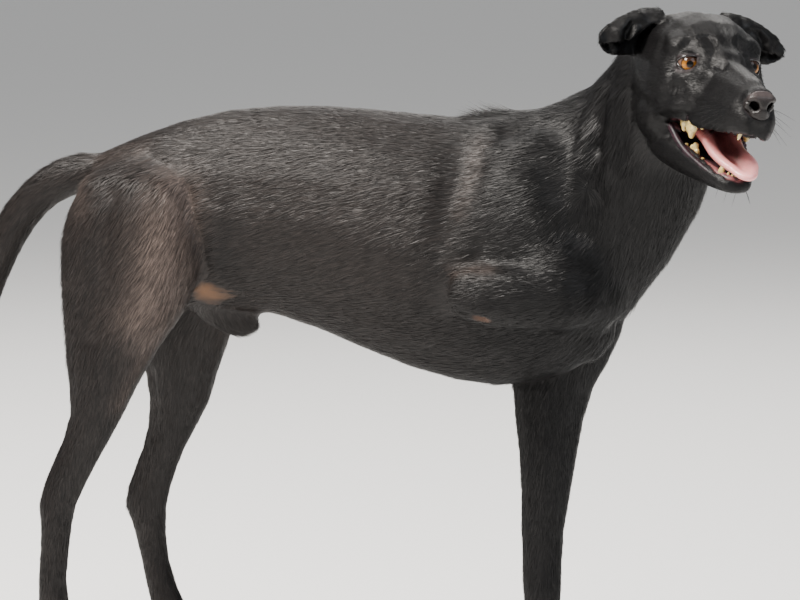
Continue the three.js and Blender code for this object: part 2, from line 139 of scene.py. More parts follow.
camera_data = bpy.data.cameras.new("camera")
camera_data.sensor_width = SENSOR_WIDTH
camera_data.lens = SENSOR_WIDTH * CAMERA_DISTANCE / VIEW_WIDTH
camera_data.clip_end = FARTHEST_SEEN
camera = bpy.data.objects.new("camera", camera_data)
bpy.context.scene.collection.objects.link(camera)
toward_camera = view_direction(CAMERA_AZIMUTH, CAMERA_ELEVATION)
camera.location = (LOOK_AT + dog_origin + toward_camera * CAMERA_DISTANCE) * MM
camera.rotation_euler = Vector(toward_camera).to_track_quat("Z", "Y").to_euler()
bpy.context.scene.camera = camera
print("camera lens:", round(camera_data.lens), "mm")

# %% [markdown]
# A real skin runs without a seam from nose to tail. The solids are closed and nearly touch, so copies of
# them are swollen by half a millimetre until they overlap, and a voxel remesh then makes one closed
# surface round them all. Balls fill the eye sockets, and the nose is filled too, because the skin runs on
# round its leather and under it.

# %% One closed surface from the solids of flesh
FLESH = [
    "head", "lower_jaw", "ear_left", "ear_right", "neck", "trunk", "tail", "sheath", "upper_arm_right_stump",
    "thigh_right", "shank_right", "paw_hind_right", "thigh_left", "shank_left", "paw_hind_left",
    "upper_arm_left", "forearm_left", "paw_fore_left",
]
SWELL = 0.5
NOSE_SWELL = 0.4
SOCKET_MARGIN = 0.6
VOXEL = 1.7
DOUBLES_WITHIN = 2e-5
# (place, radii): the stump's muscle runs up into the shoulder and forwards into the chest
FILLED = [((212, -45, 368), (46, 38, 36)), ((240, -30, 345), (28, 36, 30))]
LEFT, RIGHT = 1, -1
SIDES = (LEFT, RIGHT)


def to_scene(points):
    return (np.asarray(points, float) + dog_origin) * MM


def add_object(name, mesh):
    piece = bpy.data.objects.new(name, mesh)
    bpy.context.scene.collection.objects.link(piece)
    return piece


def mesh_of(name, shape):
    """Turns a bmesh into a mesh."""
    mesh = bpy.data.meshes.new(name)
    shape.to_mesh(mesh)
    shape.free()
    return mesh


def join_into(whole, part):
    """Adds one bmesh to another."""
    copy = mesh_of("copy", part)
    whole.from_mesh(copy)
    bpy.data.meshes.remove(copy)


def swollen_copy(into, name, swell):
    """Adds a solid's shape to a bmesh, with its doubles merged and its faces pushed out."""
    part = bmesh.new()
    part.from_mesh(nodes[name].data)
    bmesh.ops.remove_doubles(part, verts=part.verts, dist=DOUBLES_WITHIN)
    part.normal_update()
    for vertex in part.verts:
        vertex.co += vertex.normal * swell * MM
    join_into(into, part)


def eye_centre(side):
    return np.array([EYE_BEHIND, side * EYE_ACROSS, EYE_UP])


def apply_modifiers(piece):
    """Works the piece's modifiers out into its mesh."""
    depsgraph = bpy.context.evaluated_depsgraph_get()
    mesh = bpy.data.meshes.new_from_object(piece.evaluated_get(depsgraph))
    piece.modifiers.clear()
    piece.data = mesh


def voxel_surface(piece, voxel):
    """One closed surface round everything that the piece holds."""
    remesh = piece.modifiers.new("one surface", "REMESH")
    remesh.mode = "VOXEL"
    remesh.voxel_size = voxel * MM
    apply_modifiers(piece)


flesh = bmesh.new()
for name in FLESH:
    swollen_copy(flesh, name, SWELL)
swollen_copy(flesh, "nose", NOSE_SWELL)
for side in SIDES:
    centre = Matrix.Translation(to_scene(from_head(eye_centre(side))))
    ball_radius = (EYE_RADIUS + SOCKET_MARGIN) * MM
    bmesh.ops.create_icosphere(flesh, subdivisions=3, radius=ball_radius, matrix=centre)
for place, radii in FILLED:
    size = Matrix.Diagonal([radius * MM for radius in radii] + [1])
    where = Matrix.Translation(to_scene(place)) @ size
    bmesh.ops.create_icosphere(flesh, subdivisions=4, radius=1, matrix=where)
skin = add_object("skin", mesh_of("skin", flesh))
voxel_surface(skin, VOXEL)
print("skin:", len(skin.data.vertices), "points")

# %% [markdown]
# From here the skin is shaped as clay: its corners are held in arrays, so that a muscle, a fold or a
# groove is one short rule for all of them. Smoothing is a slow spreading of each corner towards its
# neighbours. The first pass is undone where it shrank the form, so the outline keeps its size.

# %% Arrays for shaping the skin
def shaping_points(mesh):
    """A mesh's corners in short numbers, because they are moved hundreds of times."""
    return corners_of(mesh).astype(np.float32)


def edges_of(mesh):
    edges = np.empty(len(mesh.edges) * 2, np.int32)
    mesh.edges.foreach_get("vertices", edges)
    return edges.reshape(-1, 2)


def neighbour_table(edges, count, most=6):
    """For each corner the corners that it is joined to, filled up with itself."""
    both_ways = np.concatenate([edges, edges[:, ::-1]])
    both_ways = both_ways[np.argsort(both_ways[:, 0], kind="stable")]
    first = np.searchsorted(both_ways[:, 0], np.arange(count))
    rank = np.arange(len(both_ways)) - first[both_ways[:, 0]]
    kept = rank < most
    table = np.repeat(np.arange(count)[:, None], most, 1)
    table[both_ways[kept, 0], rank[kept]] = both_ways[kept, 1]
    return table


def relax(values, table, strength, rounds):
    """Draws each corner's values towards the mean of its neighbours'."""
    values = values.astype(np.float32)
    pull = np.broadcast_to(strength, len(values))[:, None].astype(np.float32)
    for _ in range(rounds):
        values = values + pull * (values[table].mean(1) - values)
    return values


def keep_size_relax(points, table, strength, rounds):
    """Smooths a form and gives back what the smoothing shrank."""
    smooth = relax(points, table, strength, rounds)
    return smooth - relax(smooth - points, table, strength, rounds)


def feathered(mask, strength=0.9, rounds=4):
    """A mask on the skin with its edge softened."""
    return relax(mask[:, None], table, strength, rounds)[:, 0]


def largest_shell(mesh):
    """Drops all but the largest connected shell."""
    edges = edges_of(mesh)
    label = np.arange(len(mesh.vertices))
    while True:
        lowest = label.copy()
        np.minimum.at(lowest, edges[:, 0], label[edges[:, 1]])
        np.minimum.at(lowest, edges[:, 1], label[edges[:, 0]])
        lowest = lowest[lowest]
        if (lowest == label).all():
            break
        label = lowest
    names, counts = np.unique(label, return_counts=True)
    doomed = label != names[counts.argmax()]
    if doomed.any():
        shape = bmesh.new()
        shape.from_mesh(mesh)
        shape.verts.ensure_lookup_table()
        bmesh.ops.delete(shape, geom=[shape.verts[i] for i in np.flatnonzero(doomed)], context="VERTS")
        shape.to_mesh(mesh)
        shape.free()
    print("shells:", len(names))


largest_shell(skin.data)
points = shaping_points(skin.data)
table = neighbour_table(edges_of(skin.data), len(points))
print("kept:", len(points), "points")

# %% [markdown]
# Each corner learns which solid it came from: the nearest one. That tells how strongly it may be
# smoothed, since a flank has broad soft planes and a paw has small ones, and later it tells which way
# the hair lies.

# %% Which solid is nearest to each corner
def solids_tree(names):
    """A search tree of the solids' faces, and which solid each face is of."""
    corners, faces, owner = [], [], []
    for number, name in enumerate(names):
        mesh = nodes[name].data
        offset = len(corners)
        corners.extend(vertex.co.copy() for vertex in mesh.vertices)
        for polygon in mesh.polygons:
            faces.append([offset + index for index in polygon.vertices])
            owner.append(number)
    return BVHTree.FromPolygons(corners, faces), np.array(owner)


flesh_tree, flesh_owner = solids_tree(FLESH)


def nearest_solid(points):
    found = (flesh_tree.find_nearest(Vector(point))[2] for point in to_scene(points))
    return flesh_owner[np.fromiter(found, int, len(points))]


region = nearest_solid(points)


def in_region(*words):
    """Which corners belong to a solid whose name holds one of the words."""
    wanted = [i for i, name in enumerate(FLESH) if any(word in name for word in words)]
    return np.isin(region, wanted)


# The forearm's name holds "ear" too, so it's smoothed as little as an ear and keeps its sinews.
softness = np.full(len(points), 1.0)
for words, value in [
    (("shank", "forearm"), 0.16),
    (("tail",), 0.3),
    (("paw",), 0.035),
    (("stump", "upper_arm", "sheath"), 0.45),
    (("head", "jaw"), 0.1),
    (("ear",), 0.07),
]:
    softness[in_region(*words)] = value
softness = feathered(softness, rounds=14)
SMOOTH_PULL = 0.75
SMOOTH_ROUNDS = 110
points = keep_size_relax(points, table, SMOOTH_PULL * softness, SMOOTH_ROUNDS)
print("smoothed over", SMOOTH_ROUNDS, "rounds")

# %% [markdown]
# Muscles, tendons and folds are swells and grooves: each raises or lowers the skin by a bell curve
# round a place or along a path. Those of the trunk come in pairs, one for each side.

# %% Tools for swells and grooves
def put_back(piece, points):
    """Moves the mesh's corners to the shaped places."""
    piece.data.vertices.foreach_set("co", to_scene(points).astype(np.float32).ravel())
    piece.data.update()


def normals_of(mesh):
    normals = np.empty(len(mesh.vertices) * 3, np.float32)
    mesh.vertex_normals.foreach_get("vector", normals)
    return normals.reshape(-1, 3)


def near_place(points, centre, radii):
    """A bell curve round a place: 1 at the place, a third at the radii."""
    away = (points - np.asarray(centre)) / np.asarray(radii, float)
    return np.exp(-(away**2).sum(1))


def path_distance(points, path):
    """How far each point is from the nearest place of a path."""
    best = np.full(len(points), np.inf)
    path = np.asarray(path, float)
    for start, end in zip(path[:-1], path[1:]):
        line = end - start
        share = np.clip((points - start) @ line / (line @ line), 0, 1)
        best = np.minimum(best, np.linalg.norm(points - start - share[:, None] * line, axis=1))
    return best


def near_path(points, path, width):
    return np.exp(-((path_distance(points, path) / width) ** 2))


def mirrored(path, side):
    """A path of the left side, on the given side."""
    return [(x, side * y, z) for x, y, z in path]


def add_lines(rise, points, lines, side=LEFT):
    """Adds swells and grooves along paths to the rise of each point."""
    for path, width, height in lines:
        rise += height * near_path(points, mirrored(path, side), width)


def smooth_step(value, low, high):
    """0 below the low edge, 1 above the high one, and a soft ramp between."""
    t = np.clip((value - low) / (high - low), 0, 1)
    return t * t * (3 - 2 * t)


# %% [markdown]
# Under a short flat coat every muscle shows. The edge of the arm's muscle, the shoulder blade, the ribs, the
# hip and seat bones, the folds of the neck and the flank are each a low swell or groove, a few millimetres
# high. They could be painted as bump, but bump doesn't change the outline or the shadows, so they are real
# shape.

# %% Muscles and bones of the body
# (path on the left side, width of the bell curve, height)
PAIRED_FORMS = [
    # The rear edge of the arm's muscle and the hollow behind it.
    ([(159, 52, 466), (156, 66, 442), (150, 73, 412), (141, 77, 386)], 11, 3.2),
    ([(130, 50, 464), (127, 65, 442), (123, 71, 412), (118, 75, 386)], 11, -2.4),
    ([(152, 28, 491), (176, 58, 458), (198, 68, 425)], 8, 1.8),  # ridge of the shoulder blade
    ([(185, 36, 486), (205, 58, 455), (214, 66, 430)], 9, -1.4),
    ([(-152, 34, 478), (-138, 44, 470)], 11, 3.0),  # hip bone
    ([(-206, 26, 436), (-200, 34, 428)], 10, 2.0),  # seat bone
    ([(-176, 66, 430), (-184, 76, 370), (-192, 78, 310)], 9, -2.2),  # between the muscles of the thigh
]
RIBS_AT = (20, 42, 64, 86, 108)
for x in RIBS_AT:
    PAIRED_FORMS.append(([(x, 68, 440), (x - 14, 78, 380), (x - 8, 70, 320)], 5.5, 0.55))
SINGLE_FORMS = [
    # The front of the right and left thigh, and the fold of the flank before each.
    ([(-134, -62, 430), (-130, -70, 400), (-134, -75, 360), (-142, -77, 318)], 15, 3.6),
    ([(-102, 66, 430), (-98, 73, 400), (-102, 76, 360), (-112, 78, 318)], 15, 3.6),
    ([(-112, -57, 432), (-106, -58, 405), (-100, -56, 380), (-97, -54, 358)], 6, -4.0),
    ([(-80, 60, 425), (-77, 59, 405), (-72, 58, 380), (-70, 54, 358)], 6, -4.0),
    ([(110, 0, 500), (-40, 0, 505), (-150, 0, 486)], 7, -1.0),  # the spine lies in a shallow furrow
    ([(252, 0, 372), (256, 0, 330), (236, 0, 292)], 9, 3.0),  # breastbone
    # The folds where the neck turns.
    ([(243, -34, 520), (240, -40, 508), (238, -53, 480), (234, -59, 455), (232, -62, 435)], 8, 2.8),
    ([(258, -46, 528), (252, -51, 510), (248, -55, 490), (246, -59, 472)], 6.5, -2.8),
    ([(246, -59, 472), (244, -61, 450), (242, -61, 430)], 7, -1.4),
    ([(264, -58, 515), (262, -61, 490), (260, -64, 462)], 6, 2.0),
    ([(276, -69, 520), (275, -68, 490), (274, -65, 462)], 5, -2.2),
    ([(128, -85, 335), (138, -87, 330), (152, -86, 325)], 3.5, -4.0),  # the scar's slit under the stump
    ([(128, -90, 343), (145, -95, 338), (165, -94, 334)], 5, 1.6),
    ([(-128, -74, 318), (-104, -68, 340), (-66, -58, 352)], 8, 3.2),  # skin between knee and flank
    ([(-94, 74, 318), (-72, 66, 338), (-40, 56, 348)], 8, 3.2),
    ([(-214, -84, 262), (-217, -84, 232), (-222, -84, 206)], 5, -3.0),  # hollow before the heel's sinew
    ([(-214, -44, 262), (-217, -48, 232), (-222, -50, 206)], 5, -2.6),
    ([(-174, 84, 262), (-172, 84, 232), (-174, 84, 206)], 5, -3.0),
    ([(-174, 44, 262), (-172, 48, 232), (-174, 50, 206)], 5, -2.6),
    ([(156, 54, 284), (152, 50, 268)], 10, 3.0),  # elbow
    ([(186, 66, 262), (184, 58, 210), (184, 48, 150)], 5, -1.4),  # along the forearm
]
forms = list(SINGLE_FORMS)
for path, width, height in PAIRED_FORMS:
    forms += [(mirrored(path, side), width, height) for side in SIDES]
put_back(skin, points)
rise = sum(height * near_path(points, path, width) for path, width, height in forms)
points = points + normals_of(skin.data) * rise[:, None]
print("body forms:", len(forms))

# %% [markdown]
# Over the withers, round the root of the tail and where the stump leaves the shoulder and the chest, the
# real skin is stretched smooth. The solids meet there in a crease. Filling it would need exact blends
# between solids, while smoothing the skin alone, many times over, gives the same taut look.

# %% Stretched skin
STRETCH_PULL = 0.9
STRETCH_EDGE = 0.02
# (path, width, how many rounds)
STRETCHED = [
    ([(122, -52, 466), (117, -30, 490), (115, 0, 500), (117, 30, 490), (122, 52, 466)], 13, 70),
    ([(-186, 0, 465), (-202, 0, 459), (-222, 0, 456)], 22, 60),
    ([(250, -62, 386), (225, -72, 390), (200, -78, 388)], 16, 60),
    ([(262, -56, 384), (266, -58, 350), (262, -50, 320), (240, -50, 304)], 22, 260),
]
for path, width, rounds in STRETCHED:
    share = STRETCH_PULL * near_path(points, path, width)
    near = np.flatnonzero(share > STRETCH_EDGE)
    share = share[near, None].astype(np.float32)
    for _ in range(rounds):
        points[near] += share * (points[table[near]].mean(1) - points[near])
print("stretched places:", len(STRETCHED))

# %% [markdown]
# The skull shows through the skin of a short-coated face: the brows, the cheek bones, the furrow of the
# forehead and the straight bridge of the nose. These places are given in the head's own axes, for the
# left side, and are made on both.

# %% Forms of the face
# (place, radii, height)
FACE_SWELLS = [
    ((-6, 25, 15), (10, 9, 6), 1.6),  # brow
    ((-58, 30, 32), (22, 13, 14), 1.5),  # chewing muscle on the skull
    ((-30, 38, 8), (11, 8, 9), -1.6),  # hollow behind the eye
    ((17, 25, -18), (11, 8, 9), -1.4),  # hollow below it
    ((57, 16, -38), (16, 9, 10), 1.6),  # whisker pad
    ((-46, 45, -46), (18, 12, 20), 1.2),  # cheek
]
FACE_LINES = [
    ([(6, 35, -14), (-14, 42, -17), (-40, 48, -16), (-60, 50, -12)], 6, 2.0),  # cheek bone
    ([(14, 6, 7), (66, 6.5, -8)], 4, 0.9),  # sides of the nose's bridge
    # The fold of the smile and the groove under it.
    ([(-34, 42, -44), (-15, 40, -40), (10, 38, -36), (30, 34, -27), (39, 30, -19)], 4.5, 2.8),
    ([(-20, 40, -47), (4, 37, -44), (26, 33, -38)], 3.5, -1.8),
    ([(3, 20.5, 1), (13, 15.5, 0), (25, 12, -2)], 5, -2.8),  # hollow in front of the eye's inner corner
    ([(-8, 30, -13), (8, 26, -11), (20, 20, -8)], 3.5, 1.0),  # bag under the eye
]
MIDDLE_LINES = [
    ([(8, 0, 14), (-20, 0, 34), (-62, 0, 43)], 6, -1.6),  # furrow of the forehead
    ([(20, 0, 5), (66, 0, -8)], 3, -0.5),
]
NOSE_MIDDLE = np.array([76, 0, -30])
NOSE_RADII = np.array([14, 15, 13.6])
# The leather starts here, and higher up a little further forwards.
LEATHER_FROM, LEATHER_FULL = 72, 77
LEATHER_SLANT = 0.25
LEATHER_SINK = 2.0
NOSTRIL = [(92, 7.2, -33.5), (80, 8.5, -31)]
NOSTRIL_WIDTH = 4.8
NOSTRIL_SINK = 9.5


def leather_zone(local):
    """1 under the leather of the nose."""
    away = (local - NOSE_MIDDLE) / NOSE_RADII
    inside = 1 - smooth_step(np.linalg.norm(away[:, 1:], axis=1), 0.86, 1.0)
    slanted = local[:, 0] - LEATHER_SLANT * (local[:, 2] - NOSE_MIDDLE[2])
    return inside * smooth_step(slanted, LEATHER_FROM, LEATHER_FULL)


put_back(skin, points)
local = to_head(points)
rise = -LEATHER_SINK * leather_zone(local)
for side in SIDES:
    rise -= NOSTRIL_SINK * near_path(local, mirrored(NOSTRIL, side), NOSTRIL_WIDTH)
    for place, radii, height in FACE_SWELLS:
        rise += height * near_place(local, mirrored([place], side)[0], radii)
    add_lines(rise, local, FACE_LINES, side)
add_lines(rise, local, MIDDLE_LINES)
on_head = feathered(in_region("head", "jaw"))
points = points + normals_of(skin.data) * (rise * on_head)[:, None]
print("face forms:", 2 * len(FACE_SWELLS + FACE_LINES) + len(MIDDLE_LINES))

# %% [markdown]
# The front of the upper lip hangs over the fangs, most of all a little left of the middle. A swell along
# the skin's normals would only make it fatter, so these places are moved straight down. The skin round
# the top of the nose is then softened, because the leather's place was sunk beside it.

# %% Hanging lip
# (place, radii, how far it hangs)
HANGING = [
    ((72, 6, -55), (14, 13, 9), 4.0),
    ((68, 13, -56), (12, 7, 9), 1.2),
    ((79, 3, -54), (6, 7, 8), 3.4),
    ((60, -14, -57), (9, 6, 7), 1.5),
    ((40, 26, -56), (14, 7, 7), 2.0),
]
head_up = head_turn @ [0, 0, 1.0]
for place, radii, drop in HANGING:
    points = points - (drop * near_place(local, place, radii) * on_head)[:, None] * head_up
near_nose = near_place(local, (73, 0, -19), (12, 18, 9)) * (leather_zone(local) < 0.2)
points = relax(points, table, 0.6 * near_nose, 14)
print("hanging places:", len(HANGING))

# %% [markdown]
# The flap of a hanging ear is a soft sheet: its front edge rolls forwards and a fold runs down beside it.
# Swells on both faces would thicken the sheet, so both faces move together, forwards or backwards. The
# paths lie in one plane across the head, and only the distance within that plane counts.

# %% Folds of the ears
EAR_PLANE = -57
FOLD_WAY = (0.97, 0, 0.1)
# (path on the left ear, width, how far it moves forwards)
EAR_FOLDS = [
    ([(EAR_PLANE, 50, 36), (EAR_PLANE, 62, 31), (EAR_PLANE, 70.5, 22), (EAR_PLANE, 71, 12),
      (EAR_PLANE, 66, 5)], 4.5, 4.5),
    ([(EAR_PLANE, 59, 28), (EAR_PLANE, 63.5, 20), (EAR_PLANE, 64, 12)], 3.2, -3.0),
    ([(EAR_PLANE, 55, 25), (EAR_PLANE, 58, 18), (EAR_PLANE, 61, 9)], 2.8, 3.0),
    ([(EAR_PLANE, 82, 18), (EAR_PLANE, 77, 11)], 5.5, -3.5),
    ([(EAR_PLANE, 86, 24), (EAR_PLANE, 87, 15)], 3, 1.5),
]
local = to_head(points)
on_ears = feathered(in_region("ear_left", "ear_right"), rounds=5)
shift = np.zeros(len(points))
flat_local = local * [0, 1, 1] + [EAR_PLANE, 0, 0]
for side in SIDES:
    add_lines(shift, flat_local, EAR_FOLDS, side)
points = points + (shift * on_ears)[:, None] * (head_turn @ FOLD_WAY)
print("ear folds:", 2 * len(EAR_FOLDS))

# %% [markdown]
# An eyelid is a fold of skin that follows the ball. A hole could be cut for the eye and its edge rolled
# in, but then the lid wouldn't lie on the ball. So round each eye the skin is drawn on to a shell just
# outside the eyeball. Within the almond of the opening it is drawn behind the ball's front, so the eye
# shows there. Further out the shell lets go of the skin, which is then smoothed into the face.

# %% Eyelids
EYE_OUTWARD = 6
OPENING_HALF_WIDTH = 10.8
OPENING_UP = 5.7
OPENING_DOWN = 6.9
ALMOND = 1.85
LID_TILT = 6
LID_OUTSIDE = 1.3
LID_INSIDE = 2.5
LID_REACH = 30
NO_LEVEL = 99


def eye_axes(side):
    """Forward from the opening, outward along the lids, and upward, in the head's axes."""
    turn, tilt = radians(EYE_OUTWARD), radians(LID_TILT)
    ahead = np.array([cos(turn), side * sin(turn), 0])
    level = np.array([-sin(turn), side * cos(turn), 0])
    up = np.array([0, 0, 1.0])
    return ahead, level * cos(tilt) + up * sin(tilt), up * cos(tilt) - level * sin(tilt)


def opening_level(across, above):
    """1 on the rim of the opening, less inside and more outside."""
    half = np.where(above > 0, OPENING_UP, OPENING_DOWN)
    return ((np.abs(across) / OPENING_HALF_WIDTH) ** ALMOND + np.abs(above / half) ** ALMOND) ** (1 / ALMOND)


def eye_level(points, side):
    """The opening's level for each place on the head, with its way and distance from the eye's centre."""
    away = to_head(points) - eye_centre(side)
    reach = np.linalg.norm(away, axis=1)
    direction = away / np.maximum(reach, 1e-6)[:, None]
    ahead, outward, up = eye_axes(side)
    level = opening_level(direction @ outward * EYE_RADIUS, direction @ up * EYE_RADIUS)
    level[(direction @ ahead < 0.1) | (reach > LID_REACH)] = NO_LEVEL
    return level, reach, direction


for side in SIDES:
    level, reach, direction = eye_level(points, side)
    in_opening = 1 - smooth_step(level, 0.96, 1.12)
    shell = EYE_RADIUS + LID_OUTSIDE - (LID_OUTSIDE + LID_INSIDE) * in_opening
    share = (1 - smooth_step(level, 1.3, 2.5)) * (1 - 0.75 * smooth_step(reach, 15, 22))
    shift = (share * (shell - reach))[:, None] * direction
    points = points + shift @ head_turn.T
    level, reach, direction = eye_level(points, side)
    round_eye = smooth_step(level, 1.2, 1.5) * (level < NO_LEVEL) * (1 - smooth_step(reach, 18, 27))
    points = keep_size_relax(points, table, 0.5 * round_eye, 14)
put_back(skin, points)
print("lids drawn round", len(SIDES), "eyes")

# %% [markdown]
# The fine voxels were needed to shape the face. The body can do with far fewer faces, so a collapse
# thins them out there first: a group of corners tells it where it may be bold. Coarser voxels from the
# start would have closed the mouth and melted the toes together.

# %% Thin the skin out
SKIN_FACES = 190000
coarse = skin.vertex_groups.new(name="coarse")
fine_head = in_region("head", "jaw", "ear")
fine_paw = in_region("paw")
for weight, chosen in ((1.0, ~(fine_head | fine_paw)), (0.55, fine_paw), (0.0, fine_head)):
    coarse.add(np.flatnonzero(chosen).tolist(), weight, "REPLACE")
thin = skin.modifiers.new("thin out", "DECIMATE")
# Each face of the voxel surface is a square, so it counts as two triangles.
thin.ratio = SKIN_FACES / (2 * len(skin.data.polygons))
thin.vertex_group = "coarse"
thin.vertex_group_factor = 1.0
apply_modifiers(skin)
skin.vertex_groups.clear()
shape = bmesh.new()
shape.from_mesh(skin.data)
bmesh.ops.triangulate(shape, faces=shape.faces)
shape.to_mesh(skin.data)
shape.free()
points = shaping_points(skin.data)
table = neighbour_table(edges_of(skin.data), len(points), 8)
region = nearest_solid(points)
normals = normals_of(skin.data)
print("skin:", len(skin.data.polygons), "faces;", int(in_region("head", "jaw").sum()), "points on the head")

# %% [markdown]
# A few places have no hair: the rims of the lids, the lips, the lining of the mouth, the groin, the scar
# of the stump and the soles. They could be pieces of their own, but then a seam would show. So each is a
# mask from 0 to 1 on the skin's corners. The same masks steer the colours and keep the tufts away.

# %% Masks on the head
UPPER_LIP = [
    (-20, 36, -50), (-4, 34.5, -49), (12, 33, -52), (30, 29, -57), (50, 25, -57), (68, 19, -55), (80, 9, -56),
]
LOWER_LIP = [
    (-16, 36, -54), (-8, 35, -62), (3, 32, -71.5), (17, 28, -79), (31, 23, -86), (44, 17, -92), (56, 9, -97),
]
LIP_WIDTH = 2.6
LIP_EDGE = 1.2
# The hollow of the mouth, as places along the head and what is found there.
MOUTH_FLOOR = ([-50, -14, 5, 17, 31, 44, 58], [-72, -60, -71, -78, -85, -91, -98])
MOUTH_ROOF = ([-50, -14, 8, 30, 80], [-50, -49, -50, -55, -54])
MOUTH_HALF_WIDTH = ([-50, -20, 8, 30, 50, 66, 80], [30, 34, 31, 26, 20, 14, 8])
MOUTH_BACK, MOUTH_FRONT = -58, 78
# The lining is looked for this far inside the cheeks, above the roof line and below the floor line.
INSIDE_CHEEK = 1.5
ABOVE_ROOF = 26
BELOW_FLOOR = 12
LID_RIM_REACH = 15


def lip_mask(local):
    """1 on the bare edge of the lips."""
    lips = np.zeros(len(local))
    for side in SIDES:
        for line in (UPPER_LIP, LOWER_LIP):
            away = path_distance(local, mirrored(line, side))
            lips = np.maximum(lips, 1 - smooth_step(away, LIP_WIDTH - LIP_EDGE, LIP_WIDTH + LIP_EDGE))
    return lips


def lining_mask(local, facing):
    """1 on the skin that faces into the mouth."""
    x, y, z = local.T
    floor_line = np.interp(x, *MOUTH_FLOOR)
    roof_line = np.interp(x, *MOUTH_ROOF)
    half = np.interp(x, *MOUTH_HALF_WIDTH)
    inside = (np.abs(y) < half - INSIDE_CHEEK) & (x > MOUTH_BACK) & (x < MOUTH_FRONT)
    inside &= (z < roof_line + ABOVE_ROOF) & (z > floor_line - BELOW_FLOOR)
    # It faces the middle of the mouth, and neither the lips nor the nose.
    inside &= (np.sign(y) * facing[:, 1] < 0.25) & (facing[:, 0] < 0.75)
    above_floor = (z > floor_line - 1) | (facing[:, 2] > 0.2)
    below_roof = (z < roof_line + 1) | (facing[:, 2] < -0.2)
    return (inside & above_floor & below_roof).astype(float)


def lid_mask(points):
    """1 on the bare rims of the lids."""
    lids = np.zeros(len(points))
    for side in SIDES:
        level, reach = eye_level(points, side)[:2]
        lids = np.maximum(lids, (1 - smooth_step(level, 1.2, 1.4)) * (reach < LID_RIM_REACH))
    return lids


local = to_head(points)
on_head = in_region("head", "jaw")
lips = lip_mask(local) * on_head
lining = lining_mask(local, normals @ head_turn) * on_head
lids = lid_mask(points)
nose_mask = leather_zone(local) * on_head
print("bare points on the head:", int((lips + lining + lids > 0.5).sum()))

# %% [markdown]
# On the body the coat is bare at the groin, at the scar and on the soles. Behind the shoulder it is painted
# brown and lighter. This is partly the brown of thin, short hair and partly painted sheen where the light
# falls, most of all on the front of the thighs, with painted shade in the fold of the flank. A painted
# picture could say the same, but places in millimetres stay true when the pieces change.

# %% Masks on the body
GROIN_RADII = (12, 22, 11)
GROIN_STRENGTH = 1.2
SCAR_PATH = [(147, -85, 325), (158, -86, 323)]
SCAR_WIDTH = 4.5
SOLE_HEIGHT = 14
# (path, width, how much more painted sheen): brown highlights where the light falls
PAINTED_SHEEN_PATHS = [
    # The front of the right and left thigh.
    ([(-122, -62, 420), (-129, -73, 382), (-132, -75, 348), (-140, -77, 322)], 26, 0.95),
    ([(-90, 68, 420), (-97, 75, 382), (-100, 77, 348), (-108, 78, 322)], 26, 0.95),
    # The front of the right and left shank.
    ([(-140, -74, 300), (-154, -76, 272), (-168, -78, 245)], 9, 0.5),
    ([(-108, 76, 300), (-124, 78, 272), (-138, 80, 245)], 9, 0.5),
    ([(-204, -42, 432), (-198, -52, 412)], 12, 0.6),  # right seat bone
    ([(-198, 42, 432), (-192, 52, 412)], 12, 0.6),  # left seat bone
    ([(-192, -16, 458), (-160, -30, 462)], 14, 0.25),  # rump
    ([(130, -83, 367), (160, -86, 368)], 8, 0.4),  # upper side of the stump
    ([(146, -44, 474), (140, -60, 445), (136, -66, 415)], 8, 0.25),  # edge of the arm's muscle
]


def body_masks(points, normals):
    """The groin, the scar and the soles."""
    groin = near_place(points, (-101, -33, 337), GROIN_RADII)
    groin = groin + near_place(points, (-69, 33, 337), GROIN_RADII)
    scar = near_path(points, SCAR_PATH, SCAR_WIDTH)
    soles = smooth_step(-normals[:, 2], 0.35, 0.8) * (points[:, 2] < SOLE_HEIGHT)
    return np.clip(groin * GROIN_STRENGTH, 0, 1), scar, soles


def brown_and_painted_sheen(points):
    """Brown of the hair and painted sheen on the black coat: most on the thighs, less on rump and shoulder,
    not on the head.
    """
    x, z = points[:, 0], points[:, 2]
    # A faint brown of the hair behind the shoulder, with painted sheen growing higher up, where the light
    # falls.
    sheen_and_brown = (1 - smooth_step(x, 40, 210)) * (0.08 + 0.07 * smooth_step(z, 180, 420))
    # Painted shade in the fold of the flank before the right thigh.
    sheen_and_brown *= 1 - 0.7 * near_place(points, (-84, -56, 385), (18, 20, 50))
    for path, width, more in PAINTED_SHEEN_PATHS:
        sheen_and_brown += more * near_path(points, path, width)
    return np.clip(sheen_and_brown, 0, 1)


def add_values(mesh, name, values):
    """Keeps a number for each corner on the mesh, where the paint can read it."""
    attribute = mesh.attributes.new(name, "FLOAT", "POINT")
    attribute.data.foreach_set("value", np.asarray(values, np.float32))


def shade_smooth(mesh):
    mesh.polygons.foreach_set("use_smooth", np.ones(len(mesh.polygons), bool))


groin, scar, soles = body_masks(points, normals)
bare = np.clip(np.maximum.reduce([lips, lids, nose_mask]), 0, 1)
masks = {"bare": bare, "lining": lining, "groin": groin, "scar": scar, "soles": soles}
for name, mask in masks.items():
    add_values(skin.data, name, feathered(mask, strength=0.8, rounds=3))
add_values(skin.data, "sheen_and_brown", brown_and_painted_sheen(points))
shade_smooth(skin.data)
print("bare points on the body:", int((groin + scar + soles > 0.5).sum()))

# %% [markdown]
# The tongue, gums, teeth and whiskers are all round things drawn out along a line. Curves with a bevel
# could make them, but a curve has one round section, and these are flat in one place and round in the
# next. So one helper makes them all: a ball whose rings are moved along a smooth path and given the half
# width and half height wanted there.

# %% A ball drawn out along a path
def unit(vectors):
    """The same ways, one long."""
    return vectors / np.maximum(np.linalg.norm(vectors, axis=-1, keepdims=True), 1e-9)


